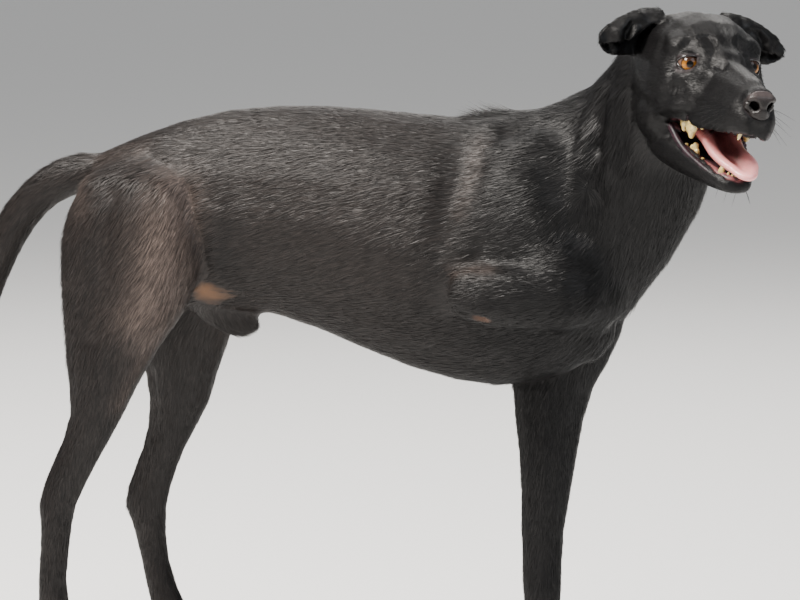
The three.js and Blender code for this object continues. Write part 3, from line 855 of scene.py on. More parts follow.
def through(rows, share):
    """A smooth line through rows of numbers, at shares of the way from 0 to 1."""
    rows = np.asarray(rows, float)
    place = np.clip(share, 0, 1) * (len(rows) - 1)
    start = np.clip(place.astype(int), 0, len(rows) - 2)
    part = (place - start)[:, None]
    before, here = rows[np.maximum(start - 1, 0)], rows[start]
    there, after = rows[start + 1], rows[np.minimum(start + 2, len(rows) - 1)]
    slope = (there - before) * part
    curve = (2 * before - 5 * here + 4 * there - after) * part**2
    return here + 0.5 * (slope + curve + (3 * (here - there) + after - before) * part**3)


def flat_on(vectors, normals):
    """Ways laid flat on surfaces with these normals."""
    return unit(vectors - (vectors * normals).sum(1)[:, None] * normals)


def corners_in(shape):
    return np.array([vertex.co for vertex in shape.verts])


def move_corners(shape, places):
    for vertex, place in zip(shape.verts, places):
        vertex.co = place


def drawn_out(path, sizes, across=(0, 1, 0), segments=12, rings=16, blunt=6, relief=None):
    """A ball drawn out along a path, in a bmesh measured in millimetres."""
    ball = bmesh.new()
    bmesh.ops.create_uvsphere(ball, u_segments=segments, v_segments=rings, radius=1)
    corners = corners_in(ball)
    share = np.arccos(np.clip(corners[:, 2], -1, 1)) / pi
    turn = unit(corners[:, :2])
    turn[np.abs(corners[:, 2]) > 0.99999] = 0
    centre = through(path, share)
    along = unit(through(path, share + 0.01) - through(path, share - 0.01))
    across = np.atleast_2d(across)
    ways = through(across, share) if len(across) > 1 else np.tile(across, (len(share), 1))
    sideways = flat_on(ways, along)
    upward = np.cross(along, sideways)
    size = through(sizes, share) * np.sqrt(1 - np.abs(2 * share - 1) ** blunt)[:, None]
    height = turn[:, 1] * size[:, 1]
    if relief:
        height = height + relief(turn, share)
    places = centre + sideways * (turn[:, 0] * size[:, 0])[:, None] + upward * height[:, None]
    move_corners(ball, places)
    return ball


def merged(parts):
    """One bmesh of several."""
    whole = bmesh.new()
    for part in parts:
        join_into(whole, part)
    bmesh.ops.recalc_face_normals(whole, faces=whole.faces)
    return whole


def head_piece(name, shape, moved=None):
    """A piece of the dog from a bmesh in the head's axes, and where its corners are on the head."""
    bmesh.ops.triangulate(shape, faces=shape.faces)
    mesh = mesh_of(name, shape)
    local = np.array([vertex.co for vertex in mesh.vertices])
    if moved:
        local = moved(local)
    mesh.vertices.foreach_set("co", to_scene(from_head(local)).astype(np.float32).ravel())
    shade_smooth(mesh)
    mesh.update()
    piece = add_object(name, mesh)
    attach(piece, "root")
    print(name, len(mesh.polygons), "faces")
    return piece, local


# %% [markdown]
# An eye is a whole ball with the clear bulge of the cornea in front. Its iris fills nearly all of the
# opening. The iris could be a disc behind a glass shell, but from a few metres that can't be told from a
# painted ball with a glossy coat. The distance from the middle of the pupil is kept on the corners, and
# the paint reads it.

# %% Eyes
IRIS_RADIUS = 7.7
CORNEA_BULGE = 0.9
CORNEA_FLAT = 2.5
BALL_INSET = 0.15
# Where each eye looks: to the left and upwards, in degrees of the head.
GAZE = {RIGHT: (-20, -3), LEFT: (11, 2)}


def way_of(turn, rise):
    """The way that an eye looks, from its angles."""
    turn, rise = radians(turn), radians(rise)
    return np.array([cos(turn) * cos(rise), sin(turn) * cos(rise), sin(rise)])


eyes = []
for side, word in ((LEFT, "left"), (RIGHT, "right")):
    look = way_of(*GAZE[side])
    ball = bmesh.new()
    turn = Vector(look).to_track_quat("Z", "Y").to_matrix().to_4x4()
    bmesh.ops.create_uvsphere(ball, u_segments=64, v_segments=44, radius=1, matrix=turn)
    bmesh.ops.triangulate(ball, faces=ball.faces)
    directions = corners_in(ball)
    ring = np.arccos(np.clip(directions @ look, -1, 1)) * EYE_RADIUS
    bulge = CORNEA_BULGE * (1 - smooth_step(ring, CORNEA_FLAT, IRIS_RADIUS + 1))
    reach = EYE_RADIUS - BALL_INSET + bulge
    move_corners(ball, eye_centre(side) + directions * reach[:, None])
    piece, local = head_piece(f"eye_{word}_ball", ball)
    add_values(piece.data, "ring", ring)
    add_values(piece.data, "above", (local - eye_centre(side))[:, 2])
    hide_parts(f"eye_{word}")
    eyes.append(piece)

# %% [markdown]
# The margin of the lids is a smooth, dark, wet rim that lies on the eyeball. It could be painted on the
# skin, but the skin's corners are too coarse for so fine a line. So a ring is spun, then each of its
# sections is set on the almond's edge. In the inner corner sits a small dark lump of flesh.

# %% Rims of the lids
RIM_SECTIONS = 72
RIM_TUBE = 0.3
# Where the rim runs, and how wide it is, as shares of the opening's edge.
RIM_AT = 1.09
RIM_WIDE = 0.12
# How far the rim's middle stands off the ball, and how thick it is.
RIM_OFF = 0.55
RIM_THICK = 0.85
FARTHEST_ROUND = 0.985


def spun_ring():
    """A ring of radius 1 with a round section."""
    hoop = bmesh.new()
    stand = Matrix.Translation((1, 0, 0)) @ Matrix.Rotation(radians(90), 4, "X")
    bmesh.ops.create_circle(hoop, segments=10, radius=RIM_TUBE, matrix=stand)
    bmesh.ops.spin(
        hoop, geom=hoop.verts[:] + hoop.edges[:], cent=(0, 0, 0), axis=(0, 0, 1),
        angle=2 * pi, steps=RIM_SECTIONS, use_merge=True,
    )
    return hoop


def lid_rim(side):
    """The ring, laid on the eyeball along the edge of the opening."""
    ahead, outward, up = eye_axes(side)
    hoop = spun_ring()
    corners = corners_in(hoop)
    turn = np.arctan2(corners[:, 1], corners[:, 0])
    thick = (np.linalg.norm(corners[:, :2], axis=1) - 1) / RIM_TUBE
    rise = corners[:, 2] / RIM_TUBE
    level = opening_level(np.cos(turn), np.sin(turn))
    share = RIM_AT + RIM_WIDE * thick
    flat_across, flat_above = np.cos(turn) / level * share, np.sin(turn) / level * share
    flat = np.minimum(np.hypot(flat_across, flat_above), EYE_RADIUS * FARTHEST_ROUND)
    scale = flat / np.hypot(flat_across, flat_above)
    flat_across, flat_above = flat_across * scale, flat_above * scale
    depth = np.sqrt(EYE_RADIUS**2 - flat**2)
    ways = ahead * depth[:, None] + outward * flat_across[:, None] + up * flat_above[:, None]
    reach = EYE_RADIUS + RIM_OFF + RIM_THICK * rise
    move_corners(hoop, eye_centre(side) + ways * (reach / EYE_RADIUS)[:, None])
    return hoop


def corner_lump(side):
    """The small lump of flesh in the inner corner of the eye."""
    ahead, outward, up = eye_axes(side)
    middle = eye_centre(side) + (ahead * 5.2 - outward * 8.9 - up * 0.6)
    half = up * 1.3
    sizes = [(0.9, 0.9), (1.3, 1.2), (0.8, 0.9)]
    return drawn_out([middle - half, middle, middle + half], sizes, across=tuple(outward), rings=8, blunt=2)


rims = [make(side) for side in SIDES for make in (lid_rim, corner_lump)]
lid_rims, _ = head_piece("lid_rims", merged(rims))

# %% [markdown]
# The nose's leather is a blunt knob with flat front and top, two comma-shaped nostrils that run out to the
# sides, and a cleft down the middle. It is carved like the skin: a fine voxel surface of the solid, then
# smoothed and grooved. What lies behind the leather is pushed under the hair.

# %% Leather of the nose
def smoothed_solid(name, sources, swell, voxel, rounds):
    """A fine closed surface round some solids, and the tools to shape it."""
    shape = bmesh.new()
    for source in sources:
        swollen_copy(shape, source, swell)
    piece = add_object(name, mesh_of(name, shape))
    voxel_surface(piece, voxel)
    places = shaping_points(piece.data)
    own_table = neighbour_table(edges_of(piece.data), len(places))
    places = keep_size_relax(places, own_table, 0.6, rounds)
    put_back(piece, places)
    shade_smooth(piece.data)
    return piece, places, own_table


# (path, width, height): carved on both sides
NOSE_PAIRED = [
    (NOSTRIL, 3.0, -8.5),
    ([(88, 8.5, -31.5), (84, 12.2, -29.5), (80, 14.5, -28.5)], 1.3, -3.0),
    ([(88, 11.5, -36.5), (84, 13.5, -34)], 2.4, 1.6),
    ([(89, 6, -25.5), (85, 11, -24.5)], 3.4, 1.2),
]
NOSE_MIDDLE_LINES = [
    ([(92, 0, -28), (90, 0, -36), (86, 0, -46)], 0.9, -1.3),
    ([(80, 0, -16), (86, 0, -19)], 5, -1.0),
]
LEATHER_PROUD = 1.8
LEATHER_LEVEL = 0.75
HOLLOW_WIDTH = 3.6
nose, places, nose_table = smoothed_solid("nose_leather", ["nose"], swell=0.3, voxel=0.6, rounds=30)
ways = normals_of(nose.data)
local = to_head(places)
rise = LEATHER_PROUD * (leather_zone(local) - LEATHER_LEVEL)
for side in SIDES:
    add_lines(rise, local, NOSE_PAIRED, side)
add_lines(rise, local, NOSE_MIDDLE_LINES)
places = relax(places + ways * rise[:, None], nose_table, 0.4, 3)
put_back(nose, places)
hollow = np.maximum(*(near_path(local, mirrored(NOSTRIL, side), HOLLOW_WIDTH) for side in SIDES))
add_values(nose.data, "hollow", hollow)
# Painted highlight: the share of the leather's top that the paint makes paler.
add_values(nose.data, "upper", smooth_step(to_head(places)[:, 2], -30, -19))
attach(nose, "root")
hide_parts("nose")
print("nose:", len(nose.data.polygons), "faces")

# %% [markdown]
# A panting dog's tongue is wide and thick at the back, hollow along the middle, and hangs over the lower
# front teeth. It could be carved from a block, but its bend and its tilt are easier to say row by row.
# The rows run from the throat to the tip.

# %% Tongue
# (middle of the row, half width, half height, how much its left edge is raised, in degrees)
TONGUE_ROWS = [
    ((-46, 0, -60), 12, 6, 0), ((-28, 0, -56.5), 16, 8, 0), ((-10, 0, -57.5), 17.5, 9, 4),
    ((6, 0, -63.5), 17.5, 9, 6), ((20, 0, -73), 16.5, 8, 7), ((33, 1.5, -79), 15, 7, 14),
    ((45, 4.5, -84), 13.5, 6, 16), ((54, 4.5, -88), 10.8, 4.8, 14), ((60, 5, -91), 7.2, 3.6, 8),
    ((63, 5.5, -92.8), 3, 2, 0),
]
GROOVE_DEPTH = 8.0
EDGE_CURL = 3.5


def tongue_relief(turn, share):
    """The groove along the upper side and the raised edges."""
    fade = smooth_step(share, 0.05, 0.2) * (1 - smooth_step(share, 0.6, 0.9))
    groove = -GROOVE_DEPTH * np.exp(-((turn[:, 0] / 0.42) ** 2)) * np.clip(turn[:, 1] + 0.3, 0, 1)
    return fade * (groove * (turn[:, 1] > -0.2) + EDGE_CURL * np.abs(turn[:, 0]) ** 2)


tongue_path = [row[0] for row in TONGUE_ROWS]
half_sizes = [row[1:3] for row in TONGUE_ROWS]
tilts = [(0, cos(radians(row[3])), sin(radians(row[3]))) for row in TONGUE_ROWS]
body = drawn_out(
    tongue_path, half_sizes, across=tilts, segments=56, rings=72, blunt=14, relief=tongue_relief,
)
tongue, local = head_piece("tongue_flesh", merged([body]))
add_values(tongue.data, "forward", local[:, 0])
# Where the painted shade of the trough falls: along its middle, fading out towards the tip.
middle = np.interp(local[:, 0], [20, 33, 45, 60], [1, 2.5, 4.5, 5])
trough = np.exp(-(((local[:, 1] - middle) / 10) ** 2)) * (1 - smooth_step(local[:, 0], 26, 50))
add_values(tongue.data, "trough", trough)
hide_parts("tongue")

# %% [markdown]
# The teeth stand in two arches of dark gum, which are only seen between the teeth, so each is a plain roll
# along its arch. Those of the lower jaw are given with the mouth closed, where the arches are level, and
# are turned open about the hinge of the jaw.

# %% Gums
JAW_HINGE = np.array([-62, 0, -38])
GAPE = 19
jaw_turn = np.array(Matrix.Rotation(radians(GAPE), 3, "Y"))


def from_jaw(places):
    """Places on the closed jaw, moved to where they are on the open one, in the head's axes."""
    return (np.asarray(places, float) - JAW_HINGE) @ jaw_turn.T + JAW_HINGE


UPPER_ARCH = [(-19, 27.5), (8, 26), (36, 20.5), (60, 13.5), (70, 7.5), (73, 0)]
LOWER_ARCH = [(-29, 22), (-2, 20), (26, 15), (46, 9.5), (55, 5.5), (58, 0)]
UPPER_GUM_HEIGHT, UPPER_GUM_RADIUS = -45.5, 4.4
LOWER_GUM_HEIGHT, LOWER_GUM_RADIUS = -57.5, 4.2


def gum(arch, height, radius):
    """A roll along the arch of one side and back along the other."""
    line = [(x, y, height) for x, y in arch]
    line += [(x, -y, height) for x, y in arch[-2::-1]]
    return drawn_out(line, [(radius, radius)] * len(line), across=(0, 0, 1), segments=14, rings=120, blunt=30)


upper_roll = gum(UPPER_ARCH, UPPER_GUM_HEIGHT, UPPER_GUM_RADIUS)
lower_roll = gum(LOWER_ARCH, LOWER_GUM_HEIGHT, LOWER_GUM_RADIUS)
upper_gum, _ = head_piece("upper_gum", merged([upper_roll]))
lower_gum, _ = head_piece("lower_gum", merged([lower_roll]), moved=from_jaw)

# %% [markdown]
# Between the hair of the lip and the gum runs the lip's own inner skin: dark, wet and in soft scallops
# towards the corner of the mouth. It's a long roll along the rim of the lower lip and one under the upper.

# %% Inner lips
INNER_LOWER = [
    (-24, 33, -53), (-17, 31.5, -58.5), (-9, 30, -66.5), (2, 26.5, -75.5), (16, 22.5, -83), (30, 17.5, -90),
    (43, 12, -95.5),
]
INNER_UPPER = [(-16, 30, -47), (-6, 29.5, -44.5), (10, 29, -46), (28, 25, -50.5)]


def scallops(turn, share):
    """Waves on the side that shows, strongest near the corner of the mouth."""
    return 0.55 * np.sin(share * 95) * (1 - smooth_step(share, 0.35, 0.7)) * np.clip(turn[:, 1] + 0.2, 0, 1)


def lip_roll(line, radius, side):
    """A roll along the inside of a lip, thinner towards the front."""
    widths = [(0.8 * radius, radius)] + [(radius, radius)] * (len(line) - 2) + [(0.6 * radius, 0.7 * radius)]
    return drawn_out(
        mirrored(line, side), widths, across=(0, side, -0.7),
        segments=16, rings=110, blunt=16, relief=scallops,
    )


LOWER_ROLL_RADIUS = 3.0
UPPER_ROLL_RADIUS = 2.2
rolls = []
for side in SIDES:
    rolls.append(lip_roll(INNER_LOWER, LOWER_ROLL_RADIUS, side))
    rolls.append(lip_roll(INNER_UPPER, UPPER_ROLL_RADIUS, side))
inner_lips, _ = head_piece("inner_lips", merged(rolls))

# %% [markdown]
# A dog has small nippers in front, then the long bent fangs, and behind them cheek teeth with several
# points, of which the fourth is the largest. Cones would do for the fangs alone, so every tooth is a ball
# drawn out from its root to its tip: a fang is slender and bent, and a cheek tooth is a broad crown with
# three blunt points.

# %% Teeth
def fang(x, y, base, length, long, wide, lean=0.0, blunt_tip=0.12):
    """A tooth from its base to its tip; it grows downwards where the length is negative."""
    path = [
        (x, y, base), (x + 0.5 * lean, y, base + 0.4 * length),
        (x + 0.2 * lean, y, base + 0.75 * length), (x - lean, y, base + length),
    ]
    shares = [1, 0.93, 0.55 + 0.7 * (blunt_tip - 0.12), blunt_tip]
    sizes = [(share * long, share * wide) for share in shares]
    return drawn_out(path, sizes, across=(1, 0, 0), segments=14, rings=14, blunt=12)


# (share of the tooth's length along it, height, size) of the points of a cheek tooth
POINTS_OF_CHEEK = [(0.05, 1.0, 0.6), (-0.52, 0.74, 0.48), (0.6, 0.7, 0.44)]


def cheek_tooth(x, y, base, length, long, wide):
    """The points and the crown of one cheek tooth."""
    parts = []
    for shift, share, size in POINTS_OF_CHEEK:
        parts.append(fang(x + shift * long, y, base, share * length, size * long, wide, 0.05 * long, 0.45))
    crown = [(x, y, base + share * length) for share in (0, 0.35, 0.68)]
    sizes = [(long, wide), (long, wide), (0.85 * long, 0.8 * wide)]
    parts.append(drawn_out(crown, sizes, across=(1, 0, 0), segments=16, rings=10, blunt=8))
    return parts


# (forwards, outwards, length, half length, half thickness)
UPPER_CHEEK = [
    (-6.5, 26.6, 12, 4.6, 3.4), (5.5, 25.6, 17.5, 7.6, 3.8), (20.5, 23.4, 9, 5, 2.8), (31.5, 21, 6, 4.2, 2.4),
    (42, 18.5, 5, 3, 2.2),
]
LOWER_CHEEK = [
    (-5.5, 20.5, 7, 4.6, 3.2), (8.5, 19, 13.5, 7.4, 3.4), (21, 16.3, 5, 4.2, 2.5), (31, 14, 3.5, 3.4, 2.3),
]
# (forwards, outwards, half thickness) of the front teeth
UPPER_NIPPERS = [(71.5, 7.4, 2.1), (73.5, 4.6, 1.8), (74.5, 1.6, 1.7)]
LOWER_NIPPERS = [(53.5, 6.2, 1.9), (56.5, 3.8, 1.7), (58, 1.3, 1.5)]
CHEEK_BASE = -46
FRONT_BASE = -45
LOWER_BASE = -57
# The lip hangs lower over the left fang, so that one is kept shorter.
UPPER_FANG_LENGTH = {LEFT: 13, RIGHT: 16}
LOWER_FANG_LENGTH = 9.5
UPPER_NIPPER_LENGTH = 8.5
LOWER_NIPPER_LENGTH = 6.5
upper_parts, lower_parts = [], []
for side in SIDES:
    for x, y, length, long, wide in UPPER_CHEEK:
        upper_parts += cheek_tooth(x, side * y, CHEEK_BASE, -length, long, wide)
    for x, y, length, long, wide in LOWER_CHEEK:
        lower_parts += cheek_tooth(x, side * y, LOWER_BASE, length, long, wide)
    upper_parts.append(fang(66, side * 10.8, FRONT_BASE, -UPPER_FANG_LENGTH[side], 3.6, 2.8, lean=2.2))
    lower_parts.append(fang(46, side * 9.6, LOWER_BASE, LOWER_FANG_LENGTH, 3.6, 2.9, lean=1.2))
    for x, y, size in UPPER_NIPPERS:
        upper_parts.append(fang(x, side * y, FRONT_BASE, -UPPER_NIPPER_LENGTH, size * 0.8, size, lean=0.4))
    for x, y, size in LOWER_NIPPERS:
        lower_parts.append(fang(x, side * y, LOWER_BASE, LOWER_NIPPER_LENGTH, size * 0.8, size, lean=-0.4))
upper_teeth, _ = head_piece("upper_teeth", merged(upper_parts))
lower_teeth, _ = head_piece("lower_teeth", merged(lower_parts), moved=from_jaw)
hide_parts("upper_gum_and_teeth")
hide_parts("lower_gum_and_teeth")

# %% [markdown]
# The claws are short, blunt and bent. They could be drawn out like the teeth, but their solids already
# have the right places and sizes, so a fine voxel surface of them is only rounded.

# %% Claws
CLAWS = [name for name in nodes if name.startswith("claw")]
claws, _, _ = smoothed_solid("claws", CLAWS, swell=0.1, voxel=0.55, rounds=8)
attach(claws, "root")
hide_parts(*CLAWS)
print("claws:", len(claws.data.polygons), "faces")

# %% [markdown]
# Whiskers are stiff single hairs, longest on the lips, a few over the eyes and on the chin. Curves or
# Blender's own hair would be quick, but only solid meshes can be kept as models. So each is drawn out
# along a line that sweeps back, with very few corners.

# %% Whiskers
def whisker(root, way, length, bend):
    """A thin hair from just under the skin to its tip."""
    way = unit(np.asarray(way, float))
    root = np.asarray(root, float)
    tip = root + way * length + bend
    path = [root - 2 * way, root + way * length * 0.3, root + way * length * 0.65 + bend * 0.4, tip]
    sizes = [(radius, radius) for radius in (0.17, 0.15, 0.1, 0.03)]
    return drawn_out(path, sizes, across=(0.3, 0.1, 1), segments=5, rings=9, blunt=20)


LIP_ROWS = 4
HAIRS_IN_ROW = 4
BROW_AND_CHIN_HAIRS = 3
luck = np.random.default_rng(12)
hairs = []
for side in SIDES:
    for row in range(LIP_ROWS):
        for number in range(HAIRS_IN_ROW):
            root = (64 - 7.5 * number - 2 * row, side * (16.5 + 2.0 * number + 0.5 * row), -33 - 4.2 * row)
            down = -0.25 - 0.14 * row + luck.normal(0, 0.05)
            way = (0.15 - 0.28 * number, side * (0.95 - 0.03 * number), down)
            sweep = np.array([-4 - 2 * number, 0, -3.0])
            hairs.append(whisker(root, way, luck.uniform(16, 28), sweep))
    for number in range(BROW_AND_CHIN_HAIRS):
        brow = (2 + 2 * number, side * (21 + 2.5 * number), 13)
        hairs.append(whisker(brow, (0.7, side * 0.3, 0.75), luck.uniform(12, 18), np.array([-3, 0, 2.0])))
        chin = (56 - 10 * number, side * (5 + 3 * number), -104 + 3 * number)
        hairs.append(whisker(chin, (0.35, side * 0.3, -0.8), luck.uniform(9, 15), np.array([-2, 0, -1.0])))
whiskers, _ = head_piece("whiskers", merged(hairs))

# %% [markdown]
# Hair lies in a pattern that all dogs share: from the nose back over the skull, down the neck and along
# the trunk to the tail, and down every leg. It could be combed by hand, stroke by stroke. Here each solid
# gives a first direction, which is laid flat on the skin and then spread over its neighbours, so the lie
# turns softly from one member to the next. At the base of the neck it parts in a whorl on each side.

# %% The lie of the coat
TAIL_PATH = np.array([
    (-180, 0, 434), (-213, 0, 441), (-241, 0, 434), (-266, 0, 417), (-287, 0, 390), (-304, 0, 355),
    (-318, 0, 315), (-328, 0, 275), (-333, 0, 243),
], float)
CHEST_FROM = 215
THROAT_FROM = 250
TRUNK_SLOPE = 0.42
# Which way the hair lies on each member: forwards, to the left and upwards.
LIE_OF = {
    "neck": (-0.62, 0.2, -0.75),
    "stump": (-1, 0, -0.2),
    "thigh": (-0.5, 0, -0.87),
    "shank": (-0.12, 0, -1),
    "upper_arm_left": (-0.45, 0, -0.9),
    "forearm": (-0.12, 0, -1),
    "paw": (0.75, 0, -0.66),
    "sheath": (0.8, 0, -0.5),
}
CHEST_LIE = (-0.5, 0, -0.85)
THROAT_LIE = (-0.35, 0.1, -0.93)


def first_lie(points, normals):
    """Which way the hair would lie if every member were on its own."""
    lie = np.tile([-1.0, 0, -0.1], (len(points), 1))
    x = points[:, 0]
    on_trunk = in_region("trunk")
    lie[on_trunk, 2] = -TRUNK_SLOPE * (1 - np.abs(normals[on_trunk, 2]))
    for word, way in LIE_OF.items():
        lie[in_region(word)] = way
    lie[on_trunk & (x > CHEST_FROM)] = CHEST_LIE
    lie[in_region("neck") & (x > THROAT_FROM)] = THROAT_LIE
    on_tail = in_region("tail")
    nearest = np.linalg.norm(points[on_tail, None] - TAIL_PATH[None, :-1], axis=2).argmin(1)
    lie[on_tail] = unit(TAIL_PATH[1:] - TAIL_PATH[:-1])[nearest]
    local = to_head(points)
    sideways = np.sign(local[:, 1])
    face = np.stack([-np.ones(len(points)), 0.30 * sideways, -0.35 * (local[:, 2] < -20)], 1)
    ears = np.stack([np.full(len(points), 0.12), sideways, np.full(len(points), -0.45)], 1)
    on_face, on_ears = in_region("head", "jaw"), in_region("ear_left", "ear_right")
    lie[on_face] = face[on_face] @ head_turn.T
    lie[on_ears] = ears[on_ears] @ head_turn.T
    return lie


def spread_lie(lie):
    """Lets the lie of each place turn towards that of its neighbours."""
    return flat_on(relax(lie, table, strength=0.8, rounds=6), normals)


WHORLS = [(236, -62, 446), (232, 66, 430)]
WHORL_RADII = (20, 40, 26)
SPREAD_TIMES = 8
lie = flat_on(first_lie(points, normals), normals)
for _ in range(SPREAD_TIMES):
    lie = spread_lie(lie)
for whorl in WHORLS:
    away = flat_on(points - np.array(whorl) + [0, 0, 12], normals)
    share = 0.8 * near_place(points, np.array(whorl) - [0, 0, 14], WHORL_RADII)[:, None]
    lie = unit(lie * (1 - share) + away * share)
lie = spread_lie(lie)
print("lie of", len(lie), "corners")

# %% [markdown]
# A short coat lies flat, so a tuft is only a thin spike of four faces: a flat keel that starts in the
# skin and ends in a point just above it. One size for all would make the face shaggy or the neck bald. So
# its length, width, lift and spacing come from where it grows: small and dense on the face and feet,
# longer on the neck, chest, thighs and tail.

# %% How the tufts differ over the body
# For each kind of place: length, width, lift in degrees and the skin that each tuft covers, in mm^2.
TUFT_KINDS = {
    "body": (12.0, 1.15, 5.5, 2.5),
    "neck": (14.0, 1.15, 8.0, 2.3),
    "leg": (8.5, 0.95, 6.0, 1.9),
    "paw": (4.5, 0.75, 9.0, 1.2),
    "face": (4.2, 0.55, 7.0, 0.75),
    "ear": (4.6, 0.6, 4.5, 0.95),
    "tail": (14.0, 1.1, 6.0, 1.5),
    "arm": (10.0, 1.05, 6.0, 2.0),
}
KIND_OF = [
    (("trunk", "thigh"), "body"), (("neck",), "neck"), (("shank", "forearm"), "leg"), (("paw",), "paw"),
    (("head", "jaw"), "face"), (("ear_left", "ear_right"), "ear"), (("tail",), "tail"),
    (("stump", "upper_arm_left", "sheath"), "arm"),
]
kinds = np.zeros((len(points), 4))
for words, kind in KIND_OF:
    kinds[in_region(*words)] = TUFT_KINDS[kind]
kinds = relax(kinds, table, 0.8, 10)
# (path, width, extra length, extra lift): where the coat breaks the form
CRESTS = [
    ([(232, 62, 500), (232, 66, 450)], 7, 3.0, 8.0),  # left side of the neck
    ([(225, -52, 316), (242, -42, 300), (257, -24, 300)], 8, 9.0, 20.0),  # crest of the chest
    ([(134, 0, 496), (160, 0, 499)], 8, 11.0, 24.0),  # withers
    ([(-224, -48, 400), (-226, -56, 330), (-218, -62, 280)], 10, 3.0, 4.0),  # back of the right thigh
    ([(-212, 48, 400), (-206, 56, 330), (-188, 62, 280)], 10, 3.0, 4.0),  # back of the left thigh
    ([(262, -10, 400), (258, 0, 340)], 16, 6.0, 7.0),  # breastbone
]
for path, width, longer, lifted in CRESTS:
    share = near_path(points, path, width)
    kinds[:, 0] += longer * share
    kinds[:, 2] += lifted * share
# The hair is shorter round the bare places, at the edge of the groin and towards the nose.
SHORTER_AT_BARE = 0.6
SHORTER_AT_GROIN = 0.55
GROIN_EDGES = [(-92, -40, 340), (-60, 40, 340)]
GROIN_EDGE_RADII = (22, 18, 17)
SHORTER_ON_MUZZLE = 0.35
DENSER_ON_MUZZLE = 0.30
kinds[:, 0] *= 1 - SHORTER_AT_BARE * np.clip(scar + groin, 0, 1)
for place in GROIN_EDGES:
    kinds[:, 0] *= 1 - SHORTER_AT_GROIN * near_place(points, place, GROIN_EDGE_RADII)
muzzle = smooth_step(to_head(points)[:, 0], 5, 55) * in_region("head", "jaw")
kinds[:, 0] *= 1 - SHORTER_ON_MUZZLE * muzzle
kinds[:, 3] *= 1 - DENSER_ON_MUZZLE * muzzle
print("tuft lengths:", kinds[:, 0].min().round(1), "to", kinds[:, 0].max().round(1), "mm")

# %% [markdown]
# The roots are spread evenly over the skin: every face gets a share of them in line with its area. A
# hair system would scatter them too, but it leaves no solid mesh and no say over each root. A slow random
# wave bends the lie a little from place to place, so that the tufts gather in locks.

# %% Roots of the tufts
TUFT_TOTAL = 345000
chance = np.random.default_rng(7)
corner_table = np.empty(len(skin.data.polygons) * 3, np.int32)
skin.data.polygons.foreach_get("vertices", corner_table)
triangles = corner_table.reshape(-1, 3)
first, second, third = (points[triangles[:, i]] for i in range(3))
areas = np.linalg.norm(np.cross(second - first, third - first), axis=1) / 2
MOSTLY_BARE = 0.6
hairless = np.clip(bare + lining + soles + 1.6 * groin + 1.2 * scar, 0, 1)
haired = (1 - hairless[triangles].mean(1)) * (hairless[triangles].max(1) < MOSTLY_BARE)
wanted = areas / kinds[triangles, 3].mean(1) * haired
print("skin area", round(areas.sum() / 1e6, 3), "m2; tufts wanted", int(wanted.sum()))
steps = np.cumsum(wanted)
marks = (np.arange(TUFT_TOTAL) + chance.random(TUFT_TOTAL)) * steps[-1] / TUFT_TOTAL
root_face = np.minimum(np.searchsorted(steps, marks), len(triangles) - 1)
u, v = chance.random(TUFT_TOTAL), chance.random(TUFT_TOTAL)
folded = u + v > 1
u[folded], v[folded] = 1 - u[folded], 1 - v[folded]
mix = np.stack([1 - u - v, u, v], 1)


def at_roots(values):
    """Values on the skin's corners, carried to the roots."""
    return (values[triangles[root_face]] * mix[:, :, None]).sum(1)


WAVES = 7


def slow_wave(places, size, seed):
    """A smooth random value from -1 to 1 that changes over about the given size."""
    random = np.random.default_rng(seed)
    total = np.zeros(len(places))
    for _ in range(WAVES):
        way = unit(random.normal(size=3)) * 2 * pi / size * random.uniform(0.6, 1.5)
        total += np.sin(places @ way + random.uniform(0, 2 * pi))
    return total / 4


roots = at_roots(points)
root_normal = unit(at_roots(normals))
root_kind = at_roots(kinds)
root_lie = flat_on(at_roots(lie), root_normal)
across = np.cross(root_normal, root_lie)
# In degrees: two waves of swing, and a little of its own for each tuft.
locks = 7 * slow_wave(roots, size=26, seed=3) + 6 * slow_wave(roots, size=9, seed=4)
swing = np.radians(locks + chance.normal(0, 4.5, TUFT_TOTAL))
root_lie = root_lie * np.cos(swing)[:, None] + across * np.sin(swing)[:, None]
across = np.cross(root_normal, root_lie)
print("roots:", len(roots))

# %% [markdown]
# A tuft stands for a few dozen hairs that lie together. It could be a flat card, but a card shows its edge
# and has no thickness to export, so each one is a closed spike of four corners. The normals are turned a
# little to both sides, so the light runs over the lock as over a round bundle.

# %% Tuft shapes
SUNK = 0.06
KEEL = 0.13
LEAST_LIFT = 2
FLOOR_GAP = 0.2
length = root_kind[:, 0] * chance.uniform(0.7, 1.2, TUFT_TOTAL)
width = root_kind[:, 1] * chance.uniform(0.7, 1.25, TUFT_TOTAL)
lift = root_kind[:, 2] * chance.uniform(0.5, 1.4, TUFT_TOTAL) + 2.0 * slow_wave(roots, size=8, seed=5)
lift = np.maximum(np.radians(lift), radians(LEAST_LIFT))
way = root_lie * np.cos(lift)[:, None] + root_normal * np.sin(lift)[:, None]
base = roots - root_normal * SUNK
tuft_corners = np.stack([
    base - across * (width / 2)[:, None],
    base + across * (width / 2)[:, None],
    base + root_normal * (SUNK + KEEL * width)[:, None],
    base + way * length[:, None],
], 1)
tuft_corners[..., 2] = np.maximum(tuft_corners[..., 2], FLOOR_GAP)
EDGE_TURN = 0.42
TIP_TURN = 0.25
turned = chance.normal(0, 0.15, TUFT_TOTAL)[:, None]
leaning = root_normal + across * turned
tuft_normals = unit(np.stack([
    leaning - across * EDGE_TURN,
    leaning + across * EDGE_TURN,
    leaning,
    leaning + TIP_TURN * root_lie,
], 1))
TUFT_FACES = np.array([(0, 3, 2), (2, 3, 1), (0, 1, 3), (0, 2, 1)])
tuft_shade = chance.random(TUFT_TOTAL)
print("longest tuft", round(length.max(), 1), "mm")

